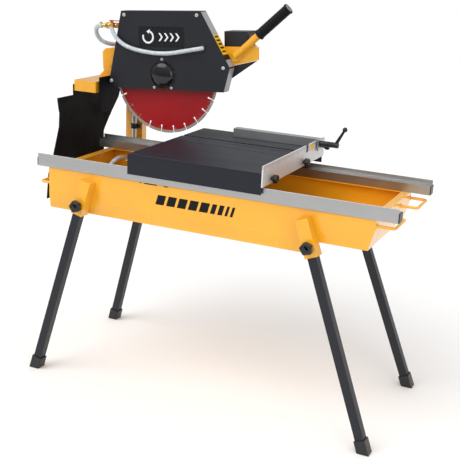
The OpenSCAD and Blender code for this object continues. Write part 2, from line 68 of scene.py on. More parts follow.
def node_body(node):
    """The body that a CAD node rides on."""
    groups = frame["record"]["behaviour"]["bodies"]
    return next(body for body, nodes in groups.items() if node in nodes)


# The part's own millimetres are measured from between the rails, with the blade's centre at (-298, 142, 878)
BLADE = box_centre("blade_core")
ORIGIN = BLADE - Vector((-0.298, 0.142, 0.878))


def mm(*point):
    """A place in the part's own millimetres, as metres in the row frame."""
    return ORIGIN + Vector(point) / 1000


SAW = Matrix.Translation(ORIGIN)
# The cutting head's own place, with X level when the head is level and the blade's centre at x = z = 0
HEAD_TILT = math.atan2(-joint("start_button_press")["axis"][2], -joint("start_button_press")["axis"][0])
HEAD = Matrix.Translation((BLADE.x, ORIGIN.y, BLADE.z)) @ Matrix.Rotation(-HEAD_TILT, 4, "Y")

# In the head's own millimetres: the cover's face, the valve's line, the buttons' height
COVER_Y = 118
VALVE_Y = 130
VALVE_Z = 151
BUTTON_Z = 114
# The guard's sloping end in X and Z: its top corner, its knee and its foot
GUARD_CORNER = Vector((132, 196))
GUARD_KNEE = Vector((225, 33))
GUARD_FOOT = Vector((204, -39.5))
# The handle leans this far from upright, and the stop's lever this far
HANDLE_LEAN = math.radians(50.5)
LEVER_LEAN = math.radians(28)
# Metres in Y of the thin marks: on the tray, the name panel, its signs, the edge strips and their dashes
TRAY_MARK_Y = -0.17795
PANEL_Y = 0.11795
SIGN_Y = 0.1178
STRIP_Y = 0.1555
STRIP_DEPTH = 0.035
DASH_Y = 0.150
DASH_DEPTH = 0.024
CORNERS = ("fl", "fr", "rl", "rr")


# ---------------------------------------------------------------------------
# Settings
# ---------------------------------------------------------------------------

class SAW_PG_colours(bpy.types.PropertyGroup):
    yellow: FloatVectorProperty(name="Yellow paint", description="Powder coat of tray, column and arm",
                                subtype="COLOR", size=3, default=(0.85, 0.40, 0.015), min=0, max=1)
    slate: FloatVectorProperty(name="Slate paint", description="Satin coat of guard, legs and table",
                               subtype="COLOR", size=3, default=(0.012, 0.013, 0.018), min=0, max=1)
    blade_red: FloatVectorProperty(name="Blade red", description="Lacquer of the blade's core",
                                   subtype="COLOR", size=3, default=(0.36, 0.003, 0.007), min=0, max=1)
    metal: FloatVectorProperty(name="Bare metal", description="Brushed aluminium and zinc",
                               subtype="COLOR", size=3, default=(0.46, 0.465, 0.46), min=0, max=1)
    hose: FloatVectorProperty(name="Hose", description="Milky water hose",
                              subtype="COLOR", size=3, default=(0.55, 0.60, 0.64), min=0, max=1)
    brass: FloatVectorProperty(name="Brass", description="Water valve body",
                               subtype="COLOR", size=3, default=(0.62, 0.39, 0.11), min=0, max=1)


class SAW_PG_sizes(bpy.types.PropertyGroup):
    edge: FloatProperty(name="Edge radius", description="Rounding of folded steel edges",
                        default=0.0012, min=0.0002, max=0.004, unit="LENGTH")
    hose_radius: FloatProperty(name="Hose radius", description="Radius of the supply hoses",
                               default=0.007, min=0.004, max=0.01, unit="LENGTH")
    spray_radius: FloatProperty(name="Spray hose radius", description="Radius of the hose across the guard",
                                default=0.0065, min=0.004, max=0.01, unit="LENGTH")
    grip_ribs: IntProperty(name="Grip ribs", description="Raised rings on the handle grip",
                           default=11, min=4, max=20)


class SAW_PG_stage(bpy.types.PropertyGroup):
    lens: FloatProperty(name="Lens", description="Focal length", default=73.1, min=20, max=200, unit="CAMERA")
    yaw: FloatProperty(name="Yaw", description="Camera heading", default=math.radians(23.99), subtype="ANGLE")
    pitch: FloatProperty(name="Pitch", description="Camera elevation", default=math.radians(-16.94),
                         subtype="ANGLE")
    roll: FloatProperty(name="Roll", description="Camera roll", default=math.radians(2.78), subtype="ANGLE")
    key_strength: FloatProperty(name="Key light", description="Strength of the soft sun", default=1.6,
                                min=0, max=10)
    fill_power: FloatProperty(name="Fill light", description="Power of the small front light", default=22,
                              min=0, max=1000, unit="POWER")


def colours():
    return bpy.context.scene.saw_colours


def sizes():
    return bpy.context.scene.saw_sizes


# ---------------------------------------------------------------------------
# Shader writing
# ---------------------------------------------------------------------------

class Signal:
    """A shader output. Arithmetic on it adds the Math nodes."""

    def __init__(self, finish, socket):
        self.finish, self.socket = finish, socket

    def math(self, operation, *others, clamp=False):
        node = self.finish.node("ShaderNodeMath", {"operation": operation, "use_clamp": clamp},
                                dict(enumerate((self,) + others)))
        return Signal(self.finish, node.outputs[0])

    def __add__(self, other):
        return self.math("ADD", other)

    __radd__ = __add__

    def __mul__(self, other):
        return self.math("MULTIPLY", other)

    __rmul__ = __mul__

    def __sub__(self, other):
        return self.math("SUBTRACT", other)

    def __truediv__(self, other):
        return self.math("DIVIDE", other)

    def __rsub__(self, other):
        node = self.finish.node("ShaderNodeMath", {"operation": "SUBTRACT"}, {0: other, 1: self})
        return Signal(self.finish, node.outputs[0])

    def clamped(self):
        return self.math("ADD", 0.0, clamp=True)

    def steps(self, low, high):
        """0 below low, 1 above high, smooth between."""
        node = self.finish.node("ShaderNodeMapRange", {"interpolation_type": "SMOOTHSTEP"},
                                {"Value": self, "From Min": low, "From Max": high})
        return Signal(self.finish, node.outputs["Result"])


class Finish:
    """One material: a Principled shader whose varying inputs are written as expressions."""

    def __init__(self, name, **constants):
        self.material = bpy.data.materials.new(name)
        self.material.use_nodes = True
        self.tree = self.material.node_tree
        self.tree.nodes.clear()
        self.shader = self.node("ShaderNodeBsdfPrincipled")
        self.output = self.node("ShaderNodeOutputMaterial", sockets={"Surface": self.shader.outputs[0]})
        for key, value in constants.items():
            self.shader.inputs[key.replace("_", " ").title().replace("Ior", "IOR")].default_value = value

    def node(self, kind, settings=None, sockets=None):
        node = self.tree.nodes.new(kind)
        for key, value in (settings or {}).items():
            if key == "stops":
                ramp = node.color_ramp
                while len(ramp.elements) < len(value):
                    ramp.elements.new(0.5)
                for element, (place, colour) in zip(ramp.elements, value):
                    element.position, element.color = place, (*colour, 1)
            else:
                setattr(node, key, value)
        for key, value in (sockets or {}).items():
            self.feed(node.inputs[key], value)
        return node

    def feed(self, socket, value):
        if isinstance(value, Signal):
            self.tree.links.new(value.socket, socket)
        elif isinstance(value, bpy.types.NodeSocket):
            self.tree.links.new(value, socket)
        elif hasattr(value, "__len__") and len(value) == 3 and socket.type == "RGBA":
            socket.default_value = (*value, 1)
        else:
            socket.default_value = value

    def out(self, node, name=0):
        return Signal(self, node.outputs[name])

    def place(self, scale=(1, 1, 1), turn=(0, 0, 0), move=(0, 0, 0)):
        coordinate = self.node("ShaderNodeTexCoord").outputs["Object"]
        return self.out(self.node("ShaderNodeMapping", {"vector_type": "POINT"}, {
            "Vector": coordinate, "Scale": scale, "Rotation": turn, "Location": move}))

    def noise(self, size, detail=3, rough=0.5, at=None):
        """Noise whose grains are about size metres across."""
        return self.out(self.node("ShaderNodeTexNoise", None, {
            "Vector": at or self.place(), "Scale": 1 / size, "Detail": detail, "Roughness": rough}), "Fac")

    def cells(self, size, at=None, feature="F1"):
        return self.out(self.node("ShaderNodeTexVoronoi", {"feature": feature}, {
            "Vector": at or self.place(), "Scale": 1 / size}), "Distance")

    def part(self, vector, axis):
        return self.out(self.node("ShaderNodeSeparateXYZ", None, {0: vector}), "XYZ".index(axis))

    def mix(self, factor, low, high):
        node = self.node("ShaderNodeMix", {"data_type": "RGBA"}, {0: factor, 6: low, 7: high})
        return self.out(node, 2)

    def bump(self, height, depth, strength=1.0, under=None):
        sockets = {"Height": height, "Distance": depth, "Strength": strength}
        if under is not None:
            sockets["Normal"] = under
        return self.out(self.node("ShaderNodeBump", None, sockets))

    def set(self, **sockets):
        for key, value in sockets.items():
            self.feed(self.shader.inputs[key.replace("_", " ").title()], value)
        return self.material


def shade(colour, factor):
    return tuple(min(1.0, c * factor) for c in colour)


def paint(name, colour, rough=0.28, orange_peel=0.00012, dust=0.10, coat=0.5, shine=0.5):
    """Powder coat: fine orange peel, faint cloudiness and a trace of dust in scattered patches."""
    f = Finish(name, coat_weight=coat, coat_roughness=0.08, ior=1.5, specular_ior_level=shine)
    peel = f.noise(0.0035, 2)
    cloud = f.noise(0.16, 4)
    scuff = f.noise(0.02, 5, 0.65, f.place((1, 1, 6))).steps(0.60, 0.78)
    base = f.mix(cloud.steps(0.3, 0.7), shade(colour, 0.93), shade(colour, 1.05))
    grey = f.mix(scuff * dust, base, shade(tuple(sum(colour) / 3 for _ in range(3)), 1.3))
    return f.set(base_color=grey, roughness=(rough + 0.10 * (cloud - 0.5) + 0.12 * scuff).clamped(),
                 normal=f.bump(peel, orange_peel, 0.5))


def tray_paint(name, colour):
    """Powder coat of the tray, with dried water marks low on its inner walls."""
    f = Finish(name, coat_weight=0.55, coat_roughness=0.07, ior=1.5)
    peel = f.noise(0.0035, 2)
    cloud = f.noise(0.22, 4)
    runs = f.noise(0.011, 4, 0.6, f.place((1, 1, 0.12))).steps(0.55, 0.75)
    height = f.part(f.place(), "Z")
    low = 1 - height.steps(0.505, 0.60)
    base = f.mix(cloud.steps(0.3, 0.7), shade(colour, 0.95), shade(colour, 1.05))
    marked = f.mix(runs * low * 0.05, base, (0.75, 0.62, 0.42))
    return f.set(base_color=marked, roughness=(0.24 + 0.1 * (cloud - 0.5) + 0.2 * runs * low).clamped(),
                 normal=f.bump(peel, 0.00012, 0.5))


def brushed(name, colour, along=(1, 0, 0), rough=0.34, grain=0.0006, mill=0.05):
    """Metal brushed along one direction: fine streaks in colour, roughness and relief."""
    f = Finish(name, metallic=1.0)
    stretch = tuple(0.012 if a else 1.0 for a in along)
    streak = f.noise(grain, 2, 0.5, f.place(stretch))
    band = f.noise(0.03, 3, 0.5, f.place(tuple(0.05 if a else 1.0 for a in along)))
    patch = f.noise(0.09, 3)
    tone = f.mix(streak * 0.6 + patch * 0.4, shade(colour, 0.80), shade(colour, 1.16))
    tone = f.mix(band.steps(0.45, 0.75) * mill * 4, tone, shade(colour, 0.72))
    return f.set(base_color=tone, roughness=(rough + 0.16 * (streak - 0.5) + 0.12 * (patch - 0.5)).clamped(),
                 normal=f.bump(streak, 0.00006, 0.35))


def cast_metal(name, colour, rough=0.48):
    f = Finish(name, metallic=0.25, coat_weight=0.15, coat_roughness=0.3)
    skin = f.noise(0.0022, 5, 0.6)
    cloud = f.noise(0.06, 3)
    return f.set(base_color=f.mix(cloud, shade(colour, 0.85), shade(colour, 1.2)),
                 roughness=(rough + 0.2 * (skin - 0.5)).clamped(), normal=f.bump(skin, 0.00035, 0.5))


def moulded(name, colour, rough=0.42, grain=0.0009, depth=0.00008):
    """Moulded plastic with a fine spark-eroded grain."""
    f = Finish(name, ior=1.47, specular_ior_level=0.5)
    pores = f.cells(grain)
    cloud = f.noise(0.03, 3)
    return f.set(base_color=f.mix(cloud, shade(colour, 0.85), shade(colour, 1.18)),
                 roughness=(rough + 0.14 * (cloud - 0.5)).clamped(), normal=f.bump(pores, depth, 0.5))


def sheet_rubber(name, colour, rough=0.62):
    """Matt rubber sheet: cloth-like skin, pale bloom and long soft creases."""
    f = Finish(name, specular_ior_level=0.16)
    skin = f.noise(0.0016, 3, 0.6)
    bloom = f.noise(0.07, 5, 0.6).steps(0.42, 0.78)
    crease = f.noise(0.05, 3, 0.5, f.place((1, 0.5, 0.25)))
    under = f.bump(crease, 0.004, 0.3)
    return f.set(base_color=f.mix(bloom * 0.5, colour, shade(colour, 2.3)),
                 roughness=(rough + 0.18 * bloom).clamped(), normal=f.bump(skin, 0.00008, 0.5, under))


def milky_hose(name, colour):
    """Soft translucent PVC with a faint braid in its relief."""
    f = Finish(name, subsurface_weight=0.15, subsurface_scale=0.003, coat_weight=0.35,
               coat_roughness=0.15, ior=1.45)
    cloud = f.noise(0.012, 4)
    braid = f.cells(0.004)
    return f.set(base_color=f.mix(cloud.steps(0.35, 0.7), shade(colour, 0.86), shade(colour, 1.08)),
                 roughness=(0.26 + 0.16 * cloud).clamped(), normal=f.bump(braid, 0.00006, 0.25))


def deck_coat(name, colour):
    """Ribbed anti-slip coating of the table: fine lines along the rails with dull rubbed tracks."""
    f = Finish(name, specular_ior_level=0.22)
    across = f.part(f.place(), "Y")
    ribs = (across * (2 * math.pi / 0.004)).math("SINE").steps(-0.6, 0.9)
    flat = f.part(f.out(f.node("ShaderNodeNewGeometry"), "Normal"), "Z").steps(0.7, 0.95)
    track = f.noise(0.05, 4, 0.55, f.place((0.12, 1, 1)))
    fleck = f.noise(0.0012, 3, 0.6)
    base = f.mix((ribs * 0.22 * flat + track * 0.5).clamped(), shade(colour, 0.75), shade(colour, 1.9))
    return f.set(base_color=base, roughness=(0.40 + 0.22 * (track - 0.5) + 0.12 * fleck).clamped(),
                 normal=f.bump(ribs * flat * 0.5 + fleck * 0.25, 0.0003, 0.5))


def blade_lacquer(name, colour):
    """Gloss red lacquer over turned steel: rings round the shaft, slightly worn to the rim."""
    f = Finish(name, coat_weight=0.08, coat_roughness=0.15, specular_ior_level=0.25)
    centre = f.place(move=tuple(-c for c in BLADE))
    radius = f.out(f.node("ShaderNodeVectorMath", {"operation": "LENGTH"}, {0: centre}), "Value")
    rings = (radius * (2 * math.pi / 0.0011)).math("SINE")
    cloud = f.noise(0.05, 4)
    edge = radius.steps(0.154, 0.168)
    base = f.mix(cloud, shade(colour, 0.82), shade(colour, 1.15))
    worn = f.mix(edge * f.noise(0.006, 4).steps(0.45, 0.7) * 0.35, base, (0.30, 0.28, 0.27))
    return f.set(base_color=worn, roughness=(0.30 + 0.10 * (cloud - 0.5) + 0.15 * edge).clamped(),
                 normal=f.bump(rings, 0.00003, 0.3))


def diamond_grit(name):
    f = Finish(name, metallic=0.7)
    grit = f.cells(0.0012)
    cloud = f.noise(0.004, 4, 0.7)
    spark = grit.steps(0.02, 0.25)
    return f.set(base_color=f.mix(cloud, (0.30, 0.28, 0.275), (0.60, 0.57, 0.55)),
                 roughness=(0.42 + 0.3 * cloud).clamped(), normal=f.bump(spark, 0.0004, 0.7))


def turned(name, colour, rough=0.26):
    f = Finish(name, metallic=1.0)
    fine = f.noise(0.0008, 2, 0.5, f.place((1, 0.06, 1)))
    cloud = f.noise(0.02, 3)
    return f.set(base_color=f.mix(fine, shade(colour, 0.8), shade(colour, 1.15)),
                 roughness=(rough + 0.18 * (cloud - 0.5)).clamped(), normal=f.bump(fine, 0.00005, 0.3))


def fence_ruler(name, colour):
    """Brushed plate with an engraved scale along its top: short and long ticks, no figures."""
    f = Finish(name)
    at = f.place()
    y, z = f.part(at, "Y"), f.part(at, "Z")
    streak = f.noise(0.0007, 2, 0.5, f.place((1, 0.012, 1)))
    patch = f.noise(0.07, 3)
    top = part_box("fence_plate")[1].z

    def ticks(pitch, width, length):
        near = ((y / pitch).math("FRACT") - 0.5).math("ABSOLUTE")
        mark = near.steps(0.5 - width / pitch, 0.5 - 0.4 * width / pitch)
        above = z.steps(top - length - 0.0004, top - length)
        return mark * above * (1 - z.steps(top - 0.0012, top - 0.0008))

    scale = (ticks(0.005, 0.0007, 0.006) + ticks(0.010, 0.0009, 0.010)
             + ticks(0.050, 0.0012, 0.016)).clamped()
    base = f.mix(streak * 0.5 + patch * 0.5, shade(colour, 0.86), shade(colour, 1.15))
    return f.set(base_color=f.mix(scale * 0.85, base, (0.03, 0.03, 0.03)),
                 metallic=0.5 - scale * 0.4, roughness=(0.50 + 0.14 * (streak - 0.5) + 0.2 * scale).clamped(),
                 normal=f.bump(streak * 0.4 - scale, 0.00012, 0.4))


def print_ink(name, colour, rough=0.4):
    """Screen-printed or vinyl mark with a faint uneven gloss."""
    f = Finish(name, specular_ior_level=0.2)
    cloud = f.noise(0.01, 4)
    return f.set(base_color=f.mix(cloud, shade(colour, 0.9), shade(colour, 1.08)),
                 roughness=(rough + 0.12 * (cloud - 0.5)).clamped(), normal=f.bump(cloud, 0.00004, 0.3))


def make_finishes():
    c = colours()
    return {
        "yellow_paint": paint("saw_yellow", c.yellow, 0.26),
        "tray_paint": tray_paint("saw_tray_yellow", c.yellow),
        "rail_metal": brushed("saw_rail", c.metal, (1, 0, 0), 0.36),
        "upright_metal": brushed("saw_rod", c.metal, (0, 0, 1), 0.26),
        "zinc": cast_metal("saw_zinc", (0.55, 0.56, 0.55), 0.34),
        "black_plastic": moulded("saw_black_plastic", (0.012, 0.012, 0.014), 0.36),
        "rubber": sheet_rubber("saw_rubber", (0.0030, 0.0032, 0.0040)),
        "grip_rubber": sheet_rubber("saw_grip_rubber", (0.006, 0.006, 0.007), 0.5),
        "black_paint": paint("saw_slate", c.slate, 0.42, 0.0001, 0.12, 0.04, 0.34),
        "clear_hose": milky_hose("saw_hose", c.hose),
        "fence_metal": brushed("saw_stop_bar", (0.50, 0.51, 0.52), (1, 0, 0), 0.36),
        "fence_ruler": fence_ruler("saw_fence", (0.68, 0.69, 0.71)),
        "deck_black": deck_coat("saw_deck", (0.015, 0.017, 0.024)),
        # A lighter copy of the deck coat for the front lip: a painted highlight along the rim.
        "deck_rim_highlight": deck_coat("saw_deck_rim_highlight", (0.035, 0.038, 0.050)),
        "wheel_plastic": moulded("saw_wheel", (0.03, 0.03, 0.034), 0.4),
        "motor_grey": cast_metal("saw_motor", (0.045, 0.048, 0.052), 0.5),
        "red_plastic": moulded("saw_red_plastic", (0.52, 0.006, 0.008), 0.25, 0.003, 0.00003),
        "green_plastic": moulded("saw_green_plastic", (0.01, 0.25, 0.04), 0.25, 0.003, 0.00003),
        "brass": turned("saw_brass", c.brass, 0.24),
        "red_steel": blade_lacquer("saw_blade_red", c.blade_red),
        "diamond_rim": diamond_grit("saw_diamond"),
        "shaft_steel": turned("saw_steel", (0.52, 0.52, 0.53)),
        "white_ink": print_ink("saw_white_ink", (0.82, 0.83, 0.84)),
        # Black ink for print, also used as painted shade for the tray's slots.
        "black_ink_and_shade": print_ink("saw_black_ink_and_shade", (0.004, 0.004, 0.005), 0.4),
        "yellow_ink": print_ink("saw_yellow_ink", (0.90, 0.52, 0.02)),
        "dark_panel": print_ink("saw_dark_panel", (0.012, 0.013, 0.015), 0.28),
        "grey_plastic": moulded("saw_grey_plastic", (0.22, 0.22, 0.23), 0.35),
        "hub_gloss": moulded("saw_hub_gloss", (0.008, 0.008, 0.010), 0.13, 0.002, 0.00002),
        "edge_grey": paint("saw_edge_grey", (0.36, 0.365, 0.38), 0.4, 0.0001, 0.1, 0.2),
    }


FINISHES = {}


# ---------------------------------------------------------------------------
# Modelling helpers
# ---------------------------------------------------------------------------

def only(*objects):
    """Leaves just these objects selected, the first one active."""
    if bpy.context.object and bpy.context.object.mode != "OBJECT":
        bpy.ops.object.mode_set(mode="OBJECT")
    bpy.ops.object.select_all(action="DESELECT")
    for o in objects:
        o.select_set(True)
    if objects:
        bpy.context.view_layer.objects.active = objects[0]


def apply_place(piece):
    only(piece)
    bpy.ops.object.transform_apply(location=True, rotation=True, scale=True)
    return piece


def pick(piece, test, kind="FACE"):
    """In edit mode, selects just the faces, edges or vertices that pass the test."""
    bpy.ops.mesh.select_mode(type=kind)
    bpy.ops.mesh.select_all(action="DESELECT")
    mesh = bmesh.from_edit_mesh(piece.data)
    for e in {"FACE": mesh.faces, "EDGE": mesh.edges, "VERT": mesh.verts}[kind]:
        if test(e):
            e.select_set(True)
    mesh.select_flush_mode()
    bmesh.update_edit_mesh(piece.data)


def modify(piece, kind, **settings):
    only(piece)
    modifier = piece.modifiers.new(kind.title(), kind)
    for key, value in settings.items():
        setattr(modifier, key, value)
    bpy.ops.object.modifier_apply(modifier=modifier.name)
    return piece


def smooth(piece, angle=32):
    only(piece)
    bpy.ops.object.shade_smooth_by_angle(angle=math.radians(angle))
    return piece


def rounded(piece, width, segments=2, angle=32):
    modify(piece, "BEVEL", width=width, segments=segments, limit_method="ANGLE",
           angle_limit=math.radians(angle), use_clamp_overlap=True, harden_normals=False,
           miter_outer="MITER_ARC")
    smooth(piece, 38)
    return modify(piece, "WEIGHTED_NORMAL", keep_sharp=True, weight=50)


def dress(piece, finish, body, node=None):
    """Gives a finished piece its finish, body and slot, and the CAD node it stands for."""
    piece.data.materials.clear()
    piece.data.materials.append(FINISHES[finish])
    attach(piece, body)
    if node:
        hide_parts(node)
    return piece


def cad_copy(node, name, cuts=()):
    """A merged copy of a CAD node's mesh: its flat faces are joined up, then split by the cuts."""
    source = frame["nodes"][node]
    only(source)
    mesh = source.data.copy()
    piece = bpy.data.objects.new(name, mesh)
    bpy.context.scene.collection.objects.link(piece)
    only(piece)
    bpy.ops.object.mode_set(mode="EDIT")
    bpy.ops.mesh.select_all(action="SELECT")
    bpy.ops.mesh.remove_doubles(threshold=0.00002)
    bpy.ops.mesh.dissolve_limited(angle_limit=math.radians(0.4))
    for point, normal in cuts:
        bpy.ops.mesh.select_all(action="SELECT")
        bpy.ops.mesh.bisect(plane_co=point, plane_no=normal)
    bpy.ops.object.mode_set(mode="OBJECT")
    if piece.data.has_custom_normals:
        bpy.ops.mesh.customdata_custom_splitnormals_clear()
    return piece


def folded(piece):
    """True when a face's triangles cover more than the face, as on a ring that meets itself."""
    piece.data.calc_loop_triangles()
    faces = sum(f.area for f in piece.data.polygons)
    triangles = sum(t.area for t in piece.data.loop_triangles)
    return abs(triangles / faces - 1) > 0.004


def softened(node, finish, width=None, segments=2, angle=32):
    """The CAD shape with rounded edges, in its place, split until no ring-shaped face folds over."""
    low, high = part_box(node)
    for slices in (0, 1, 3, 6):
        cuts = [(low + (high - low) * (k + 0.97) / (slices + 1), axis) for k in range(slices)
                for axis in ((1, 0, 0), (0, 1, 0), (0, 0, 1))]
        piece = cad_copy(node, node + "_skin", cuts)
        rounded(piece, width or sizes().edge, segments, angle)
        if not folded(piece):
            return dress(piece, finish, node_body(node), node)
        bpy.data.objects.remove(piece)
    raise RuntimeError(f"{node}: a face folds over itself")


def block(name, low, high, place=None):
    """A box between two corners; place is the matrix it is built in."""
    low, high = Vector(low), Vector(high)
    only()
    bpy.ops.mesh.primitive_cube_add(size=1, location=(low + high) / 2)
    piece = bpy.context.object
    piece.name = name
    piece.scale = high - low
    apply_place(piece)
    return moved(piece, place)


def moved(piece, place):
    if place is not None:
        piece.matrix_world = place @ piece.matrix_world
        apply_place(piece)
    return piece


def drawn(name, points):
    """A chain of edges, left in edit mode: one vertex is extruded from point to point."""
    only()
    bpy.ops.mesh.primitive_plane_add(size=0.001, location=(0, 0, 0))
    piece = bpy.context.object
    piece.name = name
    bpy.ops.object.mode_set(mode="EDIT")
    bpy.ops.mesh.select_mode(type="VERT")
    bpy.ops.mesh.select_all(action="SELECT")
    bpy.ops.mesh.merge(type="CENTER")
    bpy.ops.transform.translate(value=points[0])
    for a, b in zip(points, points[1:]):
        step = tuple(q - p for p, q in zip(a, b))
        bpy.ops.mesh.extrude_region_move(TRANSFORM_OT_translate={"value": step})
    bpy.ops.mesh.select_all(action="SELECT")
    return piece


def face_outwards():
    """Turns every face of the mesh in edit mode outwards and leaves edit mode."""
    bpy.ops.mesh.select_all(action="SELECT")
    bpy.ops.mesh.normals_make_consistent(inside=False)
    bpy.ops.object.mode_set(mode="OBJECT")


def lathe(name, profile, steps=48, origin=(0, 0, 0), axis=(0, 0, 1)):
    """Spins a profile of (distance along axis, radius) points round the axis through origin."""
    piece = drawn(name, [(radius, 0, along) for along, radius in profile])
    bpy.ops.mesh.spin(steps=steps, angle=2 * math.pi, center=(0, 0, 0), axis=(0, 0, 1))
    bpy.ops.mesh.select_all(action="SELECT")
    bpy.ops.mesh.remove_doubles(threshold=0.000005)
    bpy.ops.mesh.dissolve_degenerate(threshold=0.000001)
    face_outwards()
    return smooth(moved(piece, stand(origin, axis)), 35)


def outline(name, points, thickness, place=None):
    """A flat plate: its outline is drawn in X and Z and filled, and its thickness goes towards -Y."""
    piece = drawn(name, [(x, 0, z) for x, z in points])
    bpy.ops.mesh.edge_face_add()
    bpy.ops.mesh.extrude_region_move(TRANSFORM_OT_translate={"value": (0, -thickness, 0)})
    face_outwards()
    return moved(piece, place)


def cylinder(name, sides, radius, depth, height):
    """A cylinder round Z with its middle at a height."""
    only()
    bpy.ops.mesh.primitive_cylinder_add(vertices=sides, radius=radius, depth=depth,
                                        location=(0, 0, height))
    piece = apply_place(bpy.context.object)
    piece.name = name
    return piece


def joined(name, *pieces):
    only(*pieces)
    bpy.ops.object.join()
    piece = bpy.context.object
    piece.name = name
    return piece


def twin(piece, name, place):
    """A copy with its own mesh, at another place."""
    copy = piece.copy()
    copy.data = piece.data.copy()
    copy.name = name
    bpy.context.scene.collection.objects.link(copy)
    return moved(copy, place)


def hose_line(name, points, radius):
    """A smooth hose along the given points: one open spline with a round section."""
    curve = bpy.data.curves.new(name, "CURVE")
    curve.dimensions = "3D"
    curve.bevel_depth = radius
    curve.bevel_resolution = 6
    curve.resolution_u = 6
    curve.use_fill_caps = True
    spline = curve.splines.new("NURBS")
    spline.points.add(len(points) - 1)
    for spot, p in zip(spline.points, points):
        spot.co = (*p, 1)
    spline.order_u = 4
    spline.use_endpoint_u = True
    piece = bpy.data.objects.new(name, curve)
    bpy.context.scene.collection.objects.link(piece)
    return piece


def run_length(points):
    return sum((b - a).length for a, b in zip(points, points[1:]))


# ---------------------------------------------------------------------------
# Small fittings
# ---------------------------------------------------------------------------

def metres(points):
    return [tuple(c / 1000 for c in p) for p in points]


def stand(origin, axis):
    """The matrix that stands a fitting made along Z at a place along an axis."""
    return Matrix.Translation(origin) @ Vector(axis).to_track_quat("Z", "Y").to_matrix().to_4x4()


def head_place(*point):
    return HEAD @ (Vector(point) / 1000)


def head_axis(*axis):
    return HEAD.to_3x3() @ Vector(axis)


def head_stand(point, axis):
    """The matrix that stands a fitting made along Z on the head."""
    return stand(head_place(*point), head_axis(*axis))


def head_face(y):
    """The matrix of an outline on the head, at y metres."""
    return HEAD @ Matrix.Translation((0, y, 0))


def socket_screw(name, radius, height):
    """A button-head screw standing along Z from z = 0, with a hexagonal recess."""
    piece = cylinder(name, 36, radius, height, height / 2)
    bpy.ops.object.mode_set(mode="EDIT")
    pick(piece, lambda e: e.normal.z > 0.9)
    bpy.ops.mesh.bevel(offset=height * 0.55, segments=4, profile=0.55, clamp_overlap=True)
    bpy.ops.object.mode_set(mode="OBJECT")
    cutter = cylinder("cutter", 6, radius * 0.5, height, height * 0.95)
    modify(piece, "BOOLEAN", object=cutter, operation="DIFFERENCE", solver="EXACT")
    bpy.data.objects.remove(cutter)
    return smooth(piece, 30)


def hex_bolt(name, radius, height):
    """A hexagon bolt head with a chamfered crown on a round washer, standing along Z from z = 0."""
    reach = radius * 1160
    washer = lathe(name + "_washer", metres([(0, 0), (0, reach), (0.9, reach), (1.2, radius * 1100),
                                             (1.2, 0)]), 32)
    head = cylinder(name, 6, radius, height - 0.0016, (height + 0.0008) / 2)
    bpy.ops.object.mode_set(mode="EDIT")
    pick(head, lambda e: e.normal.z > 0.9)
    bpy.ops.mesh.inset(thickness=radius * 0.16, depth=0.0)
    bpy.ops.transform.translate(value=(0, 0, 0.0004))
    bpy.ops.object.mode_set(mode="OBJECT")
    rounded(head, 0.0003, 1)
    return joined(name, head, washer)


def star_knob(name, radius, low, high, stud, lobes=5):
    """A lobed clamping knob along Z: moulded star with rounded rims, a round insert on top, hub below."""
    rim = radius * 0.24
    piece = cylinder(name, lobes * 16, radius, high - low - 2 * rim, (low + high) / 2)
    bpy.ops.object.mode_set(mode="EDIT")
    mesh = bmesh.from_edit_mesh(piece.data)
    for v in mesh.verts:
        reach = 1 - 0.07 * (1 + math.cos(lobes * math.atan2(v.co.y, v.co.x)))
        v.co.x *= reach
        v.co.y *= reach
    bmesh.update_edit_mesh(piece.data)
    for way in (1, -1):
        pick(piece, lambda e: e.normal.z * way > 0.9)
        for k in range(1, 5):
            before, after = (math.radians(22.5 * j) for j in (k - 1, k))
            rise = rim * (math.sin(after) - math.sin(before))
            shrink = (radius - rim * (1 - math.cos(after))) / (radius - rim * (1 - math.cos(before)))
            bpy.ops.mesh.extrude_region_move(TRANSFORM_OT_translate={"value": (0, 0, way * rise)})
            bpy.ops.transform.resize(value=(shrink, shrink, 1), center_override=(0, 0, 0))
    pick(piece, lambda e: e.normal.z > 0.98)
    bpy.ops.mesh.inset(thickness=radius * 0.22, depth=0)
    bpy.ops.mesh.inset(thickness=radius * 0.05, depth=0)
    bpy.ops.transform.translate(value=(0, 0, -radius * 0.06))
    bpy.ops.object.mode_set(mode="OBJECT")
    smooth(piece, 40)
    waist = radius * 0.55
    hub = lathe(name + "_hub", [(low - 0.004, 0), (low - 0.004, radius * 0.5), (low - 0.0015, waist),
                                (low + 0.001, waist), (low + 0.001, 0)], 32)
    pin = lathe(name + "_pin", [(-stud, 0), (-stud, 0.0024), (0.0008 - stud, 0.003), (low - 0.003, 0.003),
                                (low - 0.003, 0)], 24)
    return joined(name, piece, hub, pin)


def hose_clamp(name, radius):
    """A steel band round a hose with its worm screw, along Z about the origin."""
    r = radius * 1000
    band = lathe(name, metres([(-4, r + 0.1), (-4, r + 0.7), (-3.4, r + 1.0), (3.4, r + 1.0),
                               (4, r + 0.7), (4, r + 0.1), (-4, r + 0.1)]), 36)
    house = rounded(block(name + "_house", *metres([(-4.5, r + 0.4, -3), (4.5, r + 3.4, 3)])), 0.0006, 2)
    screw = lathe(name + "_screw", metres([(4.2, 0), (4.2, 2.4), (6.6, 2.4), (7.0, 2.0), (7.0, 0.6),
                                           (6.0, 0.5), (6.0, 0)]), 20, (0, (r + 2) / 1000, 0), (1, 0, 0))
    return joined(name, band, house, screw)


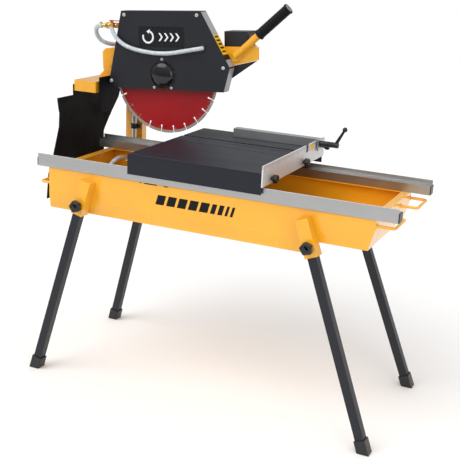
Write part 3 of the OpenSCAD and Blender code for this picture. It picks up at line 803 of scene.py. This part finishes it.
def sweep(name, route, radius, sides=18):
    """A bent wire, flat in XY: a round section is extruded from point to point and turned each time."""
    only()
    bpy.ops.mesh.primitive_circle_add(vertices=sides, radius=radius, fill_type="NGON")
    piece = bpy.context.object
    piece.name = name
    piece.matrix_world = stand(route[0], route[1] - route[0])
    apply_place(piece)
    bpy.ops.object.mode_set(mode="EDIT")
    bpy.ops.mesh.select_all(action="SELECT")
    heading = (route[1] - route[0]).normalized()
    for k in range(1, len(route)):
        bpy.ops.mesh.extrude_region_move(TRANSFORM_OT_translate={"value": tuple(route[k] - route[k - 1])})
        step = (route[k] - route[k - 1]).normalized()
        after = (route[k + 1] - route[k]).normalized() if k + 1 < len(route) else step
        facing = (step + after).normalized()
        turn = heading.cross(facing).z
        angle = math.asin(max(-1, min(1, turn)))
        mesh = bmesh.from_edit_mesh(piece.data)
        bmesh.ops.rotate(mesh, cent=route[k], matrix=Matrix.Rotation(angle, 3, "Z"),
                         verts=[v for v in mesh.verts if v.select])
        bmesh.update_edit_mesh(piece.data)
        heading = facing
    face_outwards()
    return smooth(piece, 40)


# ---------------------------------------------------------------------------
# Pieces
# ---------------------------------------------------------------------------

class SAW_OT_finishes(bpy.types.Operator):
    """Makes every paint, metal, plastic and rubber finish"""
    bl_idname = "saw.finishes"
    bl_label = "Finishes"

    def execute(self, context):
        FINISHES.update(make_finishes())
        return {"FINISHED"}


class SAW_OT_tray(bpy.types.Operator):
    """Water tray with its leg sockets, carry handles, painted slot shade and painted bars"""
    bl_idname = "saw.tray"
    bl_label = "Water tray"

    def execute(self, context):
        softened("water_tray", "tray_paint", 0.0014, 3)
        softened("leg_sockets", "yellow_paint", 0.0012, 2)
        self.handles()
        self.bars()
        return {"FINISHED"}

    def handles(self):
        parts = []
        bend = 9
        turns = [math.radians(15 * i) for i in range(7)]
        for wall, out, height in ((-508, -542, 575), (486, 533, 606)):
            way = 1 if out > wall else -1
            inner = out - bend * way
            for side in (-1, 1):
                near, far = sorted((side * 66, side * 168))
                route = [(wall, near)]
                route += [(inner + bend * way * math.sin(a), near + bend - bend * math.cos(a)) for a in turns]
                route += [(inner + bend * way * math.cos(a), far - bend + bend * math.sin(a)) for a in turns]
                route += [(wall, far)]
                parts.append(sweep("handle", [mm(*p, height) for p in route], 0.0042))
                for y in (near, far):
                    bead = lathe("bead", metres([(0, 0), (0, 7.4), (0.8, 7.0), (2.2, 5.4), (3.2, 4.1),
                                                 (3.2, 0)]), 24)
                    parts.append(moved(bead, stand(mm(wall, y, height), (way, 0, 0))))
        dress(joined("handle_rings", *parts), "yellow_paint", "frame", "carry_handles")

    def bars(self):
        """Plain painted bars on the tray's near side, and black patches of painted shade for the slots under the
        front rail.
        """
        place = Matrix.Translation(ORIGIN + Vector((0, TRAY_MARK_Y, 0)))
        gap = lean = 8
        marks = []
        x = -150
        for width in (26, 26, 26, 26, 26, 14, 14, 8, 8):
            corners = [(x, 567), (x + width, 567), (x + width + lean, 595), (x + lean, 595)]
            marks.append(outline("mark", metres(corners), 0.0003, place))
            x += width + gap
        dress(joined("side_bars", *marks), "black_ink_and_shade", "frame")
        slots = []
        # Each slot is a thin black patch: painted shade for the dark inside of an opening.
        for x0, x1 in ((-201, -197), (-187, -147), (-124, -112)):
            slot = block("slot", *metres([(x0, -178.3, 620), (x1, -177.8, 623)]), SAW)
            slots.append(rounded(slot, 0.0002, 2))
        dress(joined("slot_shade_patches", *slots), "black_ink_and_shade", "frame")


class SAW_OT_rails(bpy.types.Operator):
    """Galvanised rails and their black end caps"""
    bl_idname = "saw.rails"
    bl_label = "Rails"

    def execute(self, context):
        for node in ("rail_front", "rail_rear"):
            softened(node, "rail_metal", 0.0016, 3)
        softened("rail_end_caps", "black_plastic", 0.0012, 2)
        return {"FINISHED"}


class SAW_OT_legs(bpy.types.Operator):
    """Splayed tube legs with rubber feet and star clamping knobs"""
    bl_idname = "saw.legs"
    bl_label = "Legs"

    def execute(self, context):
        for corner in CORNERS:
            softened("leg_" + corner, "black_paint", 0.0022, 3)
            softened("foot_" + corner, "black_plastic", 0.0018, 2)
            turn = joint("leg_knob_%s_turn" % corner)
            knob = star_knob("clamp_knob_" + corner, 0.018, 0.005, 0.022, 0.004)
            moved(knob, stand(turn["pos_m"], turn["axis"]))
            dress(knob, "black_plastic", "knob_" + corner, "leg_knob_" + corner)
        return {"FINISHED"}


class SAW_OT_column(bpy.types.Operator):
    """Rear column, beam, pivot stand, guide rod with its stop collar, and their bolts"""
    bl_idname = "saw.column"
    bl_label = "Column"

    def execute(self, context):
        for node, width in (("column", 0.002), ("pivot_beam", 0.002), ("pivot_stand", 0.0012)):
            softened(node, "yellow_paint", width, 3)
        softened("curtain_clamp", "yellow_paint", 0.0008, 2)
        softened("guide_rod", "upright_metal", 0.001, 2)
        softened("stop_collar", "black_plastic", 0.0012, 2)
        turn = joint("collar_screw_turn")
        knob = star_knob("collar_knob_skin", 0.008, 0.004, 0.012, 0.0048, 4)
        dress(moved(knob, stand(turn["pos_m"], turn["axis"])), "black_plastic", "collar_knob", "collar_screw")
        bolt = hex_bolt("bolt", 0.0075, 0.005)
        places = [(mm(x, y, z), (0, -1, 0)) for x, z in ((-535, 886), (-514, 865)) for y in (182, 250)]
        places += [(mm(-587, y, 824), (-1, 0, 0)) for y in (90, 205, 330)]
        places += [(mm(x, 220, 856), (0, 0, 1)) for x in (-546, -520)]
        copies = [twin(bolt, "bolt_copy", stand(*p)) for p in places]
        bpy.data.objects.remove(bolt)
        dress(joined("bolt_heads", *copies), "zinc", "frame", "frame_bolts")
        return {"FINISHED"}


class SAW_OT_curtain(bpy.types.Operator):
    """Rubber splash curtain hanging from the beam, folded once and softly waved"""
    bl_idname = "saw.curtain"
    bl_label = "Splash curtain"

    def execute(self, context):
        shape = [(-28, 800), (58, 800), (58, 834), (350, 834), (338, 760), (290, 714), (236, 660), (229, 585),
                 (200, 500), (-98, 500), (-84, 574), (-70, 596), (-50, 636), (-14, 710), (-8, 751)]
        piece = drawn("curtain_sheet", [mm(-581, y, z) for y, z in shape])
        bpy.ops.mesh.edge_face_add()
        for k in range(1, 45):
            bpy.ops.mesh.select_all(action="SELECT")
            bpy.ops.mesh.bisect(plane_co=mm(0, -98 + 10 * k, 0), plane_no=(0, 1, 0))
        for k in range(1, 34):
            bpy.ops.mesh.select_all(action="SELECT")
            bpy.ops.mesh.bisect(plane_co=mm(0, 0, 500 + 10 * k), plane_no=(0, 0, 1))
        mesh = bmesh.from_edit_mesh(piece.data)
        for v in mesh.verts:
            y, z = (v.co.y - ORIGIN.y) * 1000, v.co.z * 1000
            free = min(1, max(0, (803 - z) / 45))
            slope = -7 * free
            hang = max(0, (757 - z) / 257)
            wave = 4.5 * math.sin((y + 0.18 * z) / 41) + 2.2 * math.sin(y / 17 + 1.4) * hang
            v.co.x += (slope + hang * (13 + wave)) / 1000
        bmesh.update_edit_mesh(piece.data)
        face_outwards()
        modify(piece, "SOLIDIFY", thickness=0.003, offset=0)
        smooth(piece, 40)
        dress(piece, "rubber", "frame", "splash_curtain")
        area = 0.5 * abs(sum(a[0] * b[1] - b[0] * a[1] for a, b in zip(shape, shape[1:] + shape[:1]))) / 1e6
        return {"FINISHED"}


class SAW_OT_table(bpy.types.Operator):
    """Rolling table with its fence, fence knobs and wheels"""
    bl_idname = "saw.table"
    bl_label = "Rolling table"

    def execute(self, context):
        softened("table_frame", "deck_black", 0.0014, 3)
        low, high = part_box("table_frame")
        # The lip along the front rim takes a lighter copy of the deck coat, a painted highlight.
        lip = block("deck_lip", (low.x + 0.001, low.y + 0.003, high.z - 0.001),
                    (high.x - 0.001, low.y + 0.007, high.z + 0.0014))
        dress(rounded(lip, 0.0006, 2), "deck_rim_highlight", "table")
        softened("fence_plate", "fence_ruler", 0.0006, 2)
        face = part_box("fence_plate")[1].x
        for side in ("front", "rear"):
            turn = joint("fence_knob_%s_turn" % side)
            knob = star_knob("star_" + side, 0.0125, 0.006, 0.019, 0.012)
            place = Vector((face, turn["pos_m"][1], turn["pos_m"][2]))
            dress(moved(knob, stand(place, (1, 0, 0))), "black_plastic", "fence_knob_%s_body" % side,
                  "fence_knob_" + side)
        tyre = lathe("tyre", metres([(-6, 4.2), (-6, 8), (-5, 8.4), (-4.6, 11.4), (-6, 12.2), (-6, 13),
                                     (-5, 14), (-1.5, 14), (-1.2, 13.4), (1.2, 13.4), (1.5, 14), (5, 14),
                                     (6, 13), (6, 12.2), (4.6, 11.4), (5, 8.4), (6, 8), (6, 4.2),
                                     (-6, 4.2)]), 48)
        for corner in CORNERS:
            wheel = twin(tyre, "roller_" + corner, stand(box_centre("wheel_" + corner), (0, 1, 0)))
            dress(wheel, "wheel_plastic", "wheel_%s_body" % corner, "wheel_" + corner)
        bpy.data.objects.remove(tyre)
        label = block("fence_label", (face - 0.0002, mm(0, 160, 0).y, 0.703),
                      (face + 0.0003, mm(0, 186, 0).y, 0.721))
        dress(rounded(label, 0.0002, 1), "yellow_ink", "table")
        return {"FINISHED"}


class SAW_OT_stop(bpy.types.Operator):
    """Sliding side stop with its clamping lever and small knob"""
    bl_idname = "saw.stop"
    bl_label = "Side stop"

    def execute(self, context):
        softened("side_stop", "fence_metal", 0.0010, 2)
        hub = joint("stop_lever_turn")["pos_m"]
        x0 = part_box("fence_plate")[1].x - 0.004
        boss = lathe("boss", metres([(4.5, 0), (4.5, 5), (12.3, 5), (12.3, 8), (12.9, 8.5), (54, 8.5),
                                     (55, 7.8), (56, 7.8), (57, 8.5), (68.6, 8.5), (70, 7.4), (70, 4.4),
                                     (69.4, 4), (69.4, 0)]), 40)
        moved(boss, stand(Vector((x0, hub[1], hub[2])), (1, 0, 0)))
        arm = lathe("arm", metres([(0, 0), (0, 5.5), (10, 5.2), (30, 4.4), (47, 3.9), (48.6, 4.4),
                                   (49.5, 6.0), (51.5, 7.1), (54, 7.5), (56.8, 7.0), (59.4, 5.2),
                                   (61, 2.6), (61.5, 0)]), 36)
        foot = Vector((x0 + 0.061, hub[1], hub[2] + 0.002))
        moved(arm, stand(foot, (math.sin(LEVER_LEAN), 0, math.cos(LEVER_LEAN))))
        dress(joined("clamp_lever", boss, arm), "black_plastic", "lever", "stop_lever")
        turn = joint("stop_knob_turn")["pos_m"]
        knob = star_knob("stop_star", 0.0085, 0.013, 0.025, 0.007, 4)
        place = stand(Vector((x0 + 0.012, turn[1], turn[2])), (1, 0, 0))
        dress(moved(knob, place), "black_plastic", "lower_knob", "stop_knob")
        return {"FINISHED"}


class SAW_OT_guard(bpy.types.Operator):
    """Blade guard with its cover, screws, hub cap, flap, marks and edge strip"""
    bl_idname = "saw.guard"
    bl_label = "Blade guard"

    def execute(self, context):
        softened("guard_body", "black_paint", 0.0016, 3)
        softened("guard_cover", "black_paint", 0.0022, 3)
        softened("guard_flap", "rubber", 0.0010, 2)
        near = (0, -1, 0)
        cap = lathe("hub_dome", metres([(0, 0), (0, 43), (2, 43), (2.8, 42.2), (3, 40.2), (5.2, 39.4),
                                        (8.4, 36.9), (11.6, 31.9), (14.2, 24.4), (15.9, 15.8),
                                        (16.7, 7.9), (17, 0)]), 64)
        dress(moved(cap, head_stand((0, COVER_Y, 5), near)), "hub_gloss", "head", "hub_cap")
        corners = [(-127, 184), (121, 184), (205, 32), (-182, -17)]
        turns = [math.radians(a) for a in (90, 232, 308)]
        around = [(48 * math.cos(a), 5 + 48 * math.sin(a)) for a in turns]
        screws = []
        for radius, spots in ((0.0054, corners), (0.0044, around)):
            screw = socket_screw("screw", radius, 0.004)
            screws += [twin(screw, "screw_copy", head_stand((x, COVER_Y, z), near)) for x, z in spots]
            bpy.data.objects.remove(screw)
        dress(joined("button_screws", *screws), "zinc", "head", "cover_screws")
        grommet = lathe("grommet", metres([(-1, 6.9), (-1, 8), (0, 8), (0, 10.8), (1.2, 11.4), (2.6, 10.6),
                                           (3.2, 8.8), (2.6, 6.9), (-1, 6.9)]), 40)
        dress(moved(grommet, head_stand((138, COVER_Y, 88.5), near)), "black_plastic", "head")
        self.marks()
        return {"FINISHED"}

    def marks(self):
        corners = [(-79, 88), (77, 88), (77, 150), (-79, 150)]
        panel = outline("name_panel", metres(corners), 0.0002, head_face(PANEL_Y))
        dress(panel, "dark_panel", "head")
        middle = (-46, 119)

        def round_point(degrees, radius):
            turn = math.radians(degrees)
            return (middle[0] + radius * math.cos(turn), middle[1] + radius * math.sin(turn))

        outer = [round_point(-200 + 10 * i, 20) for i in range(28)]
        inner = [round_point(70 - 10 * i, 14.5) for i in range(28)]
        tip = [round_point(a, r) for a, r in ((72, 24.5), (108, 17.2), (72, 10))]
        signs = [outer + inner, tip]
        for x in (-10, 9, 28, 47):
            signs.append([(x, 107), (x + 6, 107), (x + 15, 119), (x + 6, 131), (x, 131), (x + 9, 119)])
        signs = [outline("sign", metres(s), 0.0002, head_face(SIGN_Y)) for s in signs]
        dress(joined("turning_marks", *signs), "white_ink", "head")
        self.strips()

    def strips(self):
        """The pale edge of the guard's sloping end and its plain yellow and black warning band."""
        corner, knee, foot = GUARD_CORNER, GUARD_KNEE, GUARD_FOOT
        bands = [("edge_upper", "edge_grey", corner, knee, 0.015, 0.42),
                 ("edge_band", "yellow_ink", corner, knee, 0.42, 0.77),
                 ("edge_dark", "black_ink_and_shade", corner, knee, 0.77, 0.86),
                 ("edge_lower", "edge_grey", corner, knee, 0.86, 0.985),
                 ("edge_foot", "edge_grey", knee, foot, 0.03, 0.97)]
        for name, finish, start, end, low, high in bands:
            quad = self.band(start, end, low, high, -0.1, 0.25)
            strip = outline(name, quad, STRIP_DEPTH, head_face(STRIP_Y))
            dress(strip, finish, "head")
        dashes = []
        for k in range(5):
            quad = self.band(corner, knee, 0.44 + 0.065 * k, 0.468 + 0.065 * k, 0.2, 0.35)
            dashes.append(outline("dash", quad, DASH_DEPTH, head_face(DASH_Y)))
        dress(joined("edge_dashes", *dashes), "black_ink_and_shade", "head")

    def band(self, start, end, low, high, inside, outside):
        """A thin four-cornered outline along part of an edge, between two distances out of it."""
        along = end - start
        out = Vector((-along.y, along.x)).normalized()
        if out.x < 0:
            out = -out
        a, b = start + along * low, start + along * high
        quad = (a + out * inside, b + out * inside, b + out * outside, a + out * outside)
        return metres([tuple(q) for q in quad])


class SAW_OT_arm(bpy.types.Operator):
    """Swing arm with motor, fan cover, handle, switch box and its two buttons"""
    bl_idname = "saw.arm"
    bl_label = "Swing arm and motor"

    def execute(self, context):
        softened("swing_arm", "yellow_paint", 0.0012, 3)
        softened("motor_housing", "motor_grey", 0.0008, 2)
        softened("fan_cover", "black_plastic", 0.0010, 2)
        softened("switch_box", "black_plastic", 0.0030, 4)
        self.handle()
        self.buttons()
        return {"FINISHED"}

    def handle(self):
        ribs = sizes().grip_ribs
        profile = [(104.5, 0), (104.5, 11.1), (98, 11.1), (98, 15.4), (99, 16.5), (102.6, 16.5),
                   (104.2, 15.1)]
        pitch = 106 / ribs
        for k in range(ribs):
            z = 105.5 + pitch * k
            profile += [(z, 15.0), (z + pitch * 0.72, 15.0), (z + pitch * 0.80, 14.6),
                        (z + pitch * 0.92, 14.6)]
        profile += [(213.4, 15.1), (214.6, 16.5), (218, 16.4), (219.4, 15.2), (219.4, 12.6),
                    (218.2, 12.4), (218.2, 0)]
        place = head_stand((228.5, 153, 64.4), (math.sin(HANDLE_LEAN), 0, math.cos(HANDLE_LEAN)))
        grip = lathe("grip", metres(profile), 48)
        dress(moved(grip, place), "grip_rubber", "head", "handle_grip")
        plug = lathe("grip_plug", metres([(218.2, 0), (218.2, 12), (219.6, 12), (220, 11.4), (220, 4),
                                          (218.8, 3.6), (218.8, 0)]), 40)
        dress(moved(plug, place), "grey_plastic", "head")

    def buttons(self):
        along, stop_y, start_y = (1, 0, 0), 184, 210
        stop = lathe("stop_cap", metres([(0, 0), (0, 6), (14.8, 6), (15, 9.8), (16, 11), (20.2, 11),
                                         (22, 9.4), (22.8, 6), (23, 0)]), 48)
        dress(moved(stop, head_stand((252, stop_y, BUTTON_Z), along)), "red_plastic", "stop_plunger",
              "stop_button")
        start = lathe("start_cap", metres([(0, 0), (0, 6), (14, 6), (14.8, 5.2), (15, 0)]), 40)
        dress(moved(start, head_stand((252, start_y, BUTTON_Z), along)), "green_plastic",
              "start_plunger", "start_button")
        bezels = []
        for y in (stop_y, start_y):
            ring = lathe("bezel", metres([(-0.5, 6.6), (-0.5, 9.4), (1.4, 9.4), (2.2, 8.6), (2.2, 6.6),
                                          (-0.5, 6.6)]), 40)
            bezels.append(moved(ring, head_stand((262, y, BUTTON_Z), along)))
        dress(joined("button_bezels", *bezels), "grey_plastic", "head")


class SAW_OT_blade(bpy.types.Operator):
    """Red-cored diamond blade, its flange and the motor shaft"""
    bl_idname = "saw.blade"
    bl_label = "Blade"

    def execute(self, context):
        softened("blade_core", "red_steel", 0.0003, 1)
        softened("blade_rim", "diamond_rim", 0.0004, 1)
        softened("blade_flange", "shaft_steel", 0.0008, 2)
        softened("motor_shaft", "shaft_steel", 0.0008, 2)
        return {"FINISHED"}


class SAW_OT_water(bpy.types.Operator):
    """Water valve, pump and the three hoses with their clamps"""
    bl_idname = "saw.water"
    bl_label = "Water feed"

    def execute(self, context):
        softened("water_pump", "black_plastic", 0.0025, 3)
        self.valve()
        self.hoses()
        return {"FINISHED"}

    def valve(self):
        seat = head_stand((-153, VALVE_Y, VALVE_Z), (-1, 0, 0))
        body = lathe("valve_barrel", metres([(0, 0), (0, 8), (3, 8), (3.6, 6.6), (12, 6.6), (13, 8), (22, 8),
                                             (23, 10.4), (24, 11), (30, 11), (31, 10.4), (32, 8), (46, 8),
                                             (47, 6.8), (54, 6.8), (54, 5.4), (60.9, 5.4), (60.9, 0)]), 40)
        moved(body, seat)
        nut = rounded(cylinder("nut", 6, 0.0098, 0.008, 0.042), 0.0006, 2)
        moved(nut, seat)
        stem = lathe("valve_stem", metres([(0, 0), (0, 5), (9, 5), (10, 4.2), (12, 4.2), (12, 0)]), 32)
        moved(stem, head_stand((-180, VALVE_Y, VALVE_Z), (0, 0, 1)))
        tilt = math.radians(78)
        outlet = lathe("valve_outlet", metres([(0, 0), (0, 6.5), (9, 6.5), (10, 5.8), (15, 5.6),
                                               (15, 0)]), 32)
        moved(outlet, head_stand((-172, VALVE_Y, VALVE_Z), (0, -math.sin(tilt), math.cos(tilt))))
        corners = [(-160, 143), (-151.3, 143), (-147.3, 159), (-160, 159)]
        saddle = rounded(outline("valve_saddle", metres(corners), 0.016, head_face(0.138)), 0.001, 2)
        dress(joined("valve_brass", body, nut, stem, outlet, saddle), "brass", "head", "valve_body")
        blade = rounded(block("tap_blade", *metres([(-7, -5, 0.4), (30, 5, 3)])), 0.0016, 3)
        boss = lathe("tap_boss", metres([(0.2, 0), (0.2, 7), (3.4, 7), (4, 6.2), (4.2, 3), (4.2, 0)]), 32)
        place = HEAD @ Matrix.Translation((-0.180, 0.130, 0.163))
        dress(moved(joined("tap", blade, boss), place), "red_plastic", "tap_handle", "valve_lever")

    def hoses(self):
        supply = [(-505, 314, 905), (-505, 332, 905), (-506, 351, 902), (-509, 368, 893), (-513, 380, 877),
                  (-516, 385, 856), (-517, 385, 830), (-517, 385, 790), (-517, 385, 735), (-517, 385, 680),
                  (-517, 385, 640), (-514, 385, 617), (-506, 385, 603), (-490, 379, 594), (-477, 359, 590),
                  (-470, 325, 590), (-466, 290, 590), (-462, 250, 590), (-458, 212, 591), (-455, 182, 593),
                  (-452, 150, 600), (-448, 122, 606), (-444, 96, 607), (-440, 72, 604), (-437.5, 51, 598),
                  (-435.8, 37, 589), (-435, 30.6, 580.5), (-435, 30, 573)]
        upper = [(-214, 130, 151), (-227, 131, 151), (-239, 134, 145), (-246, 140, 132), (-246, 148, 116),
                 (-238, 158, 101), (-226, 171, 93), (-215, 186, 89), (-208, 205, 87), (-205, 226, 86),
                 (-205, 248, 85), (-205, 268, 82), (-205, 284, 72), (-205, 292, 58), (-204.8, 298, 47),
                 (-204.8, 306, 40.3), (-204.8, 313.6, 40.3)]
        spray = [(-172, 112, 146), (-165, 110, 131), (-156, 109, 117), (-143, 108.5, 105), (-122, 108, 92),
                 (-99, 108, 84), (-77, 108, 79), (-55, 108, 75.5), (-33, 108, 72.5), (-11, 108, 71),
                 (11, 108, 71), (33, 108, 72), (54, 108, 75), (75, 108, 78.5), (96, 108, 82), (114, 108, 85),
                 (127, 109, 87), (135, 112.5, 88), (138, 118, 88.5)]
        s = sizes()
        for name, points, radius, body, node in (
                ("supply_line", [mm(*p) for p in supply], s.hose_radius, "frame", "supply_hose"),
                ("upper_line", [head_place(*p) for p in upper], s.hose_radius, "head", "upper_hose"),
                ("spray_line", [head_place(*p) for p in spray], s.spray_radius, "head", "spray_hose")):
            hose = hose_line(name, points, radius)
            hose.data.materials.append(FINISHES["clear_hose"])
            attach(hose, body)
            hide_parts(node)
            run_length(points)
            2 * radius
        spots = [("head", head_stand((-219, 130.3, VALVE_Z), (-1, 0.08, 0))),
                 ("head", head_stand((-204.8, 309, 40.3), (0, 1, 0))),
                 ("frame", stand(mm(-505, 320, 905), (0, 1, 0))),
                 ("frame", stand(mm(-435, 30.2, 577.5), (0, 0, -1)))]
        bands = {"head": [], "frame": []}
        for body, place in spots:
            bands[body].append(moved(hose_clamp("band", s.hose_radius), place))
        for body, rings in bands.items():
            dress(joined("hose_bands_" + body, *rings), "zinc", body)


class SAW_OT_stage(bpy.types.Operator):
    """Pale floor, soft studio light and the camera"""
    bl_idname = "saw.stage"
    bl_label = "Stage"

    def execute(self, context):
        stage = context.scene.saw_stage
        only()
        bpy.ops.mesh.primitive_plane_add(size=14, location=(0, 2.0, 0))
        floor = bpy.context.object
        floor.name = "floor"
        white = Finish("stage_white")
        cloud = white.noise(0.9, 3)
        tone = white.mix(cloud, (0.88, 0.88, 0.88), (0.92, 0.92, 0.92))
        white.set(base_color=tone, roughness=0.75 + cloud * 0.05)
        floor.data.materials.append(white.material)
        apply_place(floor)
        context.scene.view_settings.view_transform = "Standard"
        self.world(context.scene)
        self.sun("key", (-0.55, -0.75, 1.0), stage.key_strength, math.radians(50))
        self.light("fill", (2.6, -2.4, 1.6), 1.6, stage.fill_power, (0, 0, 0.7))
        self.camera(stage)
        return {"FINISHED"}

    def world(self, scene):
        """White behind everything, and a softer dome that lights the saw, dimmer low down."""
        world = bpy.data.worlds.new("studio")
        scene.world = world
        world.use_nodes = True
        tree = world.node_tree
        tree.nodes.clear()
        make = tree.nodes.new
        output, choice, seen, dome = (make("ShaderNode" + kind) for kind in
                                      ("OutputWorld", "MixShader", "Background", "Background"))
        path, place, split, ramp = (make("ShaderNode" + kind) for kind in
                                    ("LightPath", "TexCoord", "SeparateXYZ", "MapRange"))
        tree.links.new(place.outputs["Generated"], split.inputs[0])
        tree.links.new(split.outputs["Z"], ramp.inputs["Value"])
        for key, value in (("From Min", -0.05), ("From Max", 0.75), ("To Min", 0.34), ("To Max", 0.95)):
            ramp.inputs[key].default_value = value
        tree.links.new(ramp.outputs["Result"], dome.inputs["Strength"])
        seen.inputs["Strength"].default_value = 1.0
        for background in (seen, dome):
            background.inputs["Color"].default_value = (1, 1, 1, 1)
        tree.links.new(path.outputs["Is Camera Ray"], choice.inputs[0])
        tree.links.new(dome.outputs[0], choice.inputs[1])
        tree.links.new(seen.outputs[0], choice.inputs[2])
        tree.links.new(choice.outputs[0], output.inputs["Surface"])

    def sun(self, name, towards, strength, angle):
        only()
        bpy.ops.object.light_add(type="SUN", location=(0, 0, 4))
        lamp = bpy.context.object
        lamp.name = name
        lamp.data.energy = strength
        lamp.data.angle = angle
        lamp.rotation_euler = (-Vector(towards)).to_track_quat("-Z", "Y").to_euler()

    def light(self, name, place, size, power, aim):
        only()
        bpy.ops.object.light_add(type="AREA", location=place)
        lamp = bpy.context.object
        lamp.name = name
        lamp.data.shape = "SQUARE"
        lamp.data.size = size
        lamp.data.energy = power
        lamp.rotation_euler = (Vector(aim) - Vector(place)).to_track_quat("-Z", "Y").to_euler()

    def camera(self, stage):
        eye = mm(1071.7, -2399.8, 1271.2)
        yaw, pitch, roll = stage.yaw, stage.pitch, stage.roll
        ahead = Vector((-math.sin(yaw) * math.cos(pitch), math.cos(yaw) * math.cos(pitch), math.sin(pitch)))
        right = Vector((math.cos(yaw), math.sin(yaw), 0))
        up = right.cross(ahead)
        across = right * math.cos(roll) + up * math.sin(roll)
        over = up * math.cos(roll) - right * math.sin(roll)
        only()
        bpy.ops.object.camera_add(location=eye)
        camera = bpy.context.object
        camera.name = "studio_camera"
        camera.rotation_euler = Matrix((across, over, -ahead)).transposed().to_euler()
        camera.data.sensor_width = 36
        camera.data.lens = stage.lens
        camera.data.clip_end = 60
        bpy.context.scene.camera = camera


class SAW_PT_panel(bpy.types.Panel):
    bl_label = "Wet masonry saw"
    bl_idname = "SAW_PT_panel"
    bl_space_type = "VIEW_3D"
    bl_region_type = "UI"
    bl_category = "Saw"

    def draw(self, context):
        layout = self.layout
        for group in (context.scene.saw_colours, context.scene.saw_sizes, context.scene.saw_stage):
            box = layout.box()
            for key in group.__annotations__:
                box.prop(group, key)
        for operator in OPERATORS:
            layout.operator(operator.bl_idname)


OPERATORS = (SAW_OT_finishes, SAW_OT_stage, SAW_OT_water, SAW_OT_tray, SAW_OT_rails, SAW_OT_legs,
             SAW_OT_column, SAW_OT_curtain, SAW_OT_table, SAW_OT_stop, SAW_OT_guard, SAW_OT_arm,
             SAW_OT_blade)
GROUPS = (("saw_colours", SAW_PG_colours), ("saw_sizes", SAW_PG_sizes), ("saw_stage", SAW_PG_stage))


def register():
    for name, group in GROUPS:
        bpy.utils.register_class(group)
        setattr(bpy.types.Scene, name, PointerProperty(type=group))
    for cls in OPERATORS + (SAW_PT_panel,):
        bpy.utils.register_class(cls)


def unregister():
    for cls in (SAW_PT_panel,) + OPERATORS[::-1]:
        bpy.utils.unregister_class(cls)
    for name, group in GROUPS[::-1]:
        delattr(bpy.types.Scene, name)
        bpy.utils.unregister_class(group)


def main():
    register()
    for operator in OPERATORS:
        group, name = operator.bl_idname.split(".")
        getattr(getattr(bpy.ops, group), name)()
    only()
    bpy.context.view_layer.update()


if __name__ == "__main__":
    main()
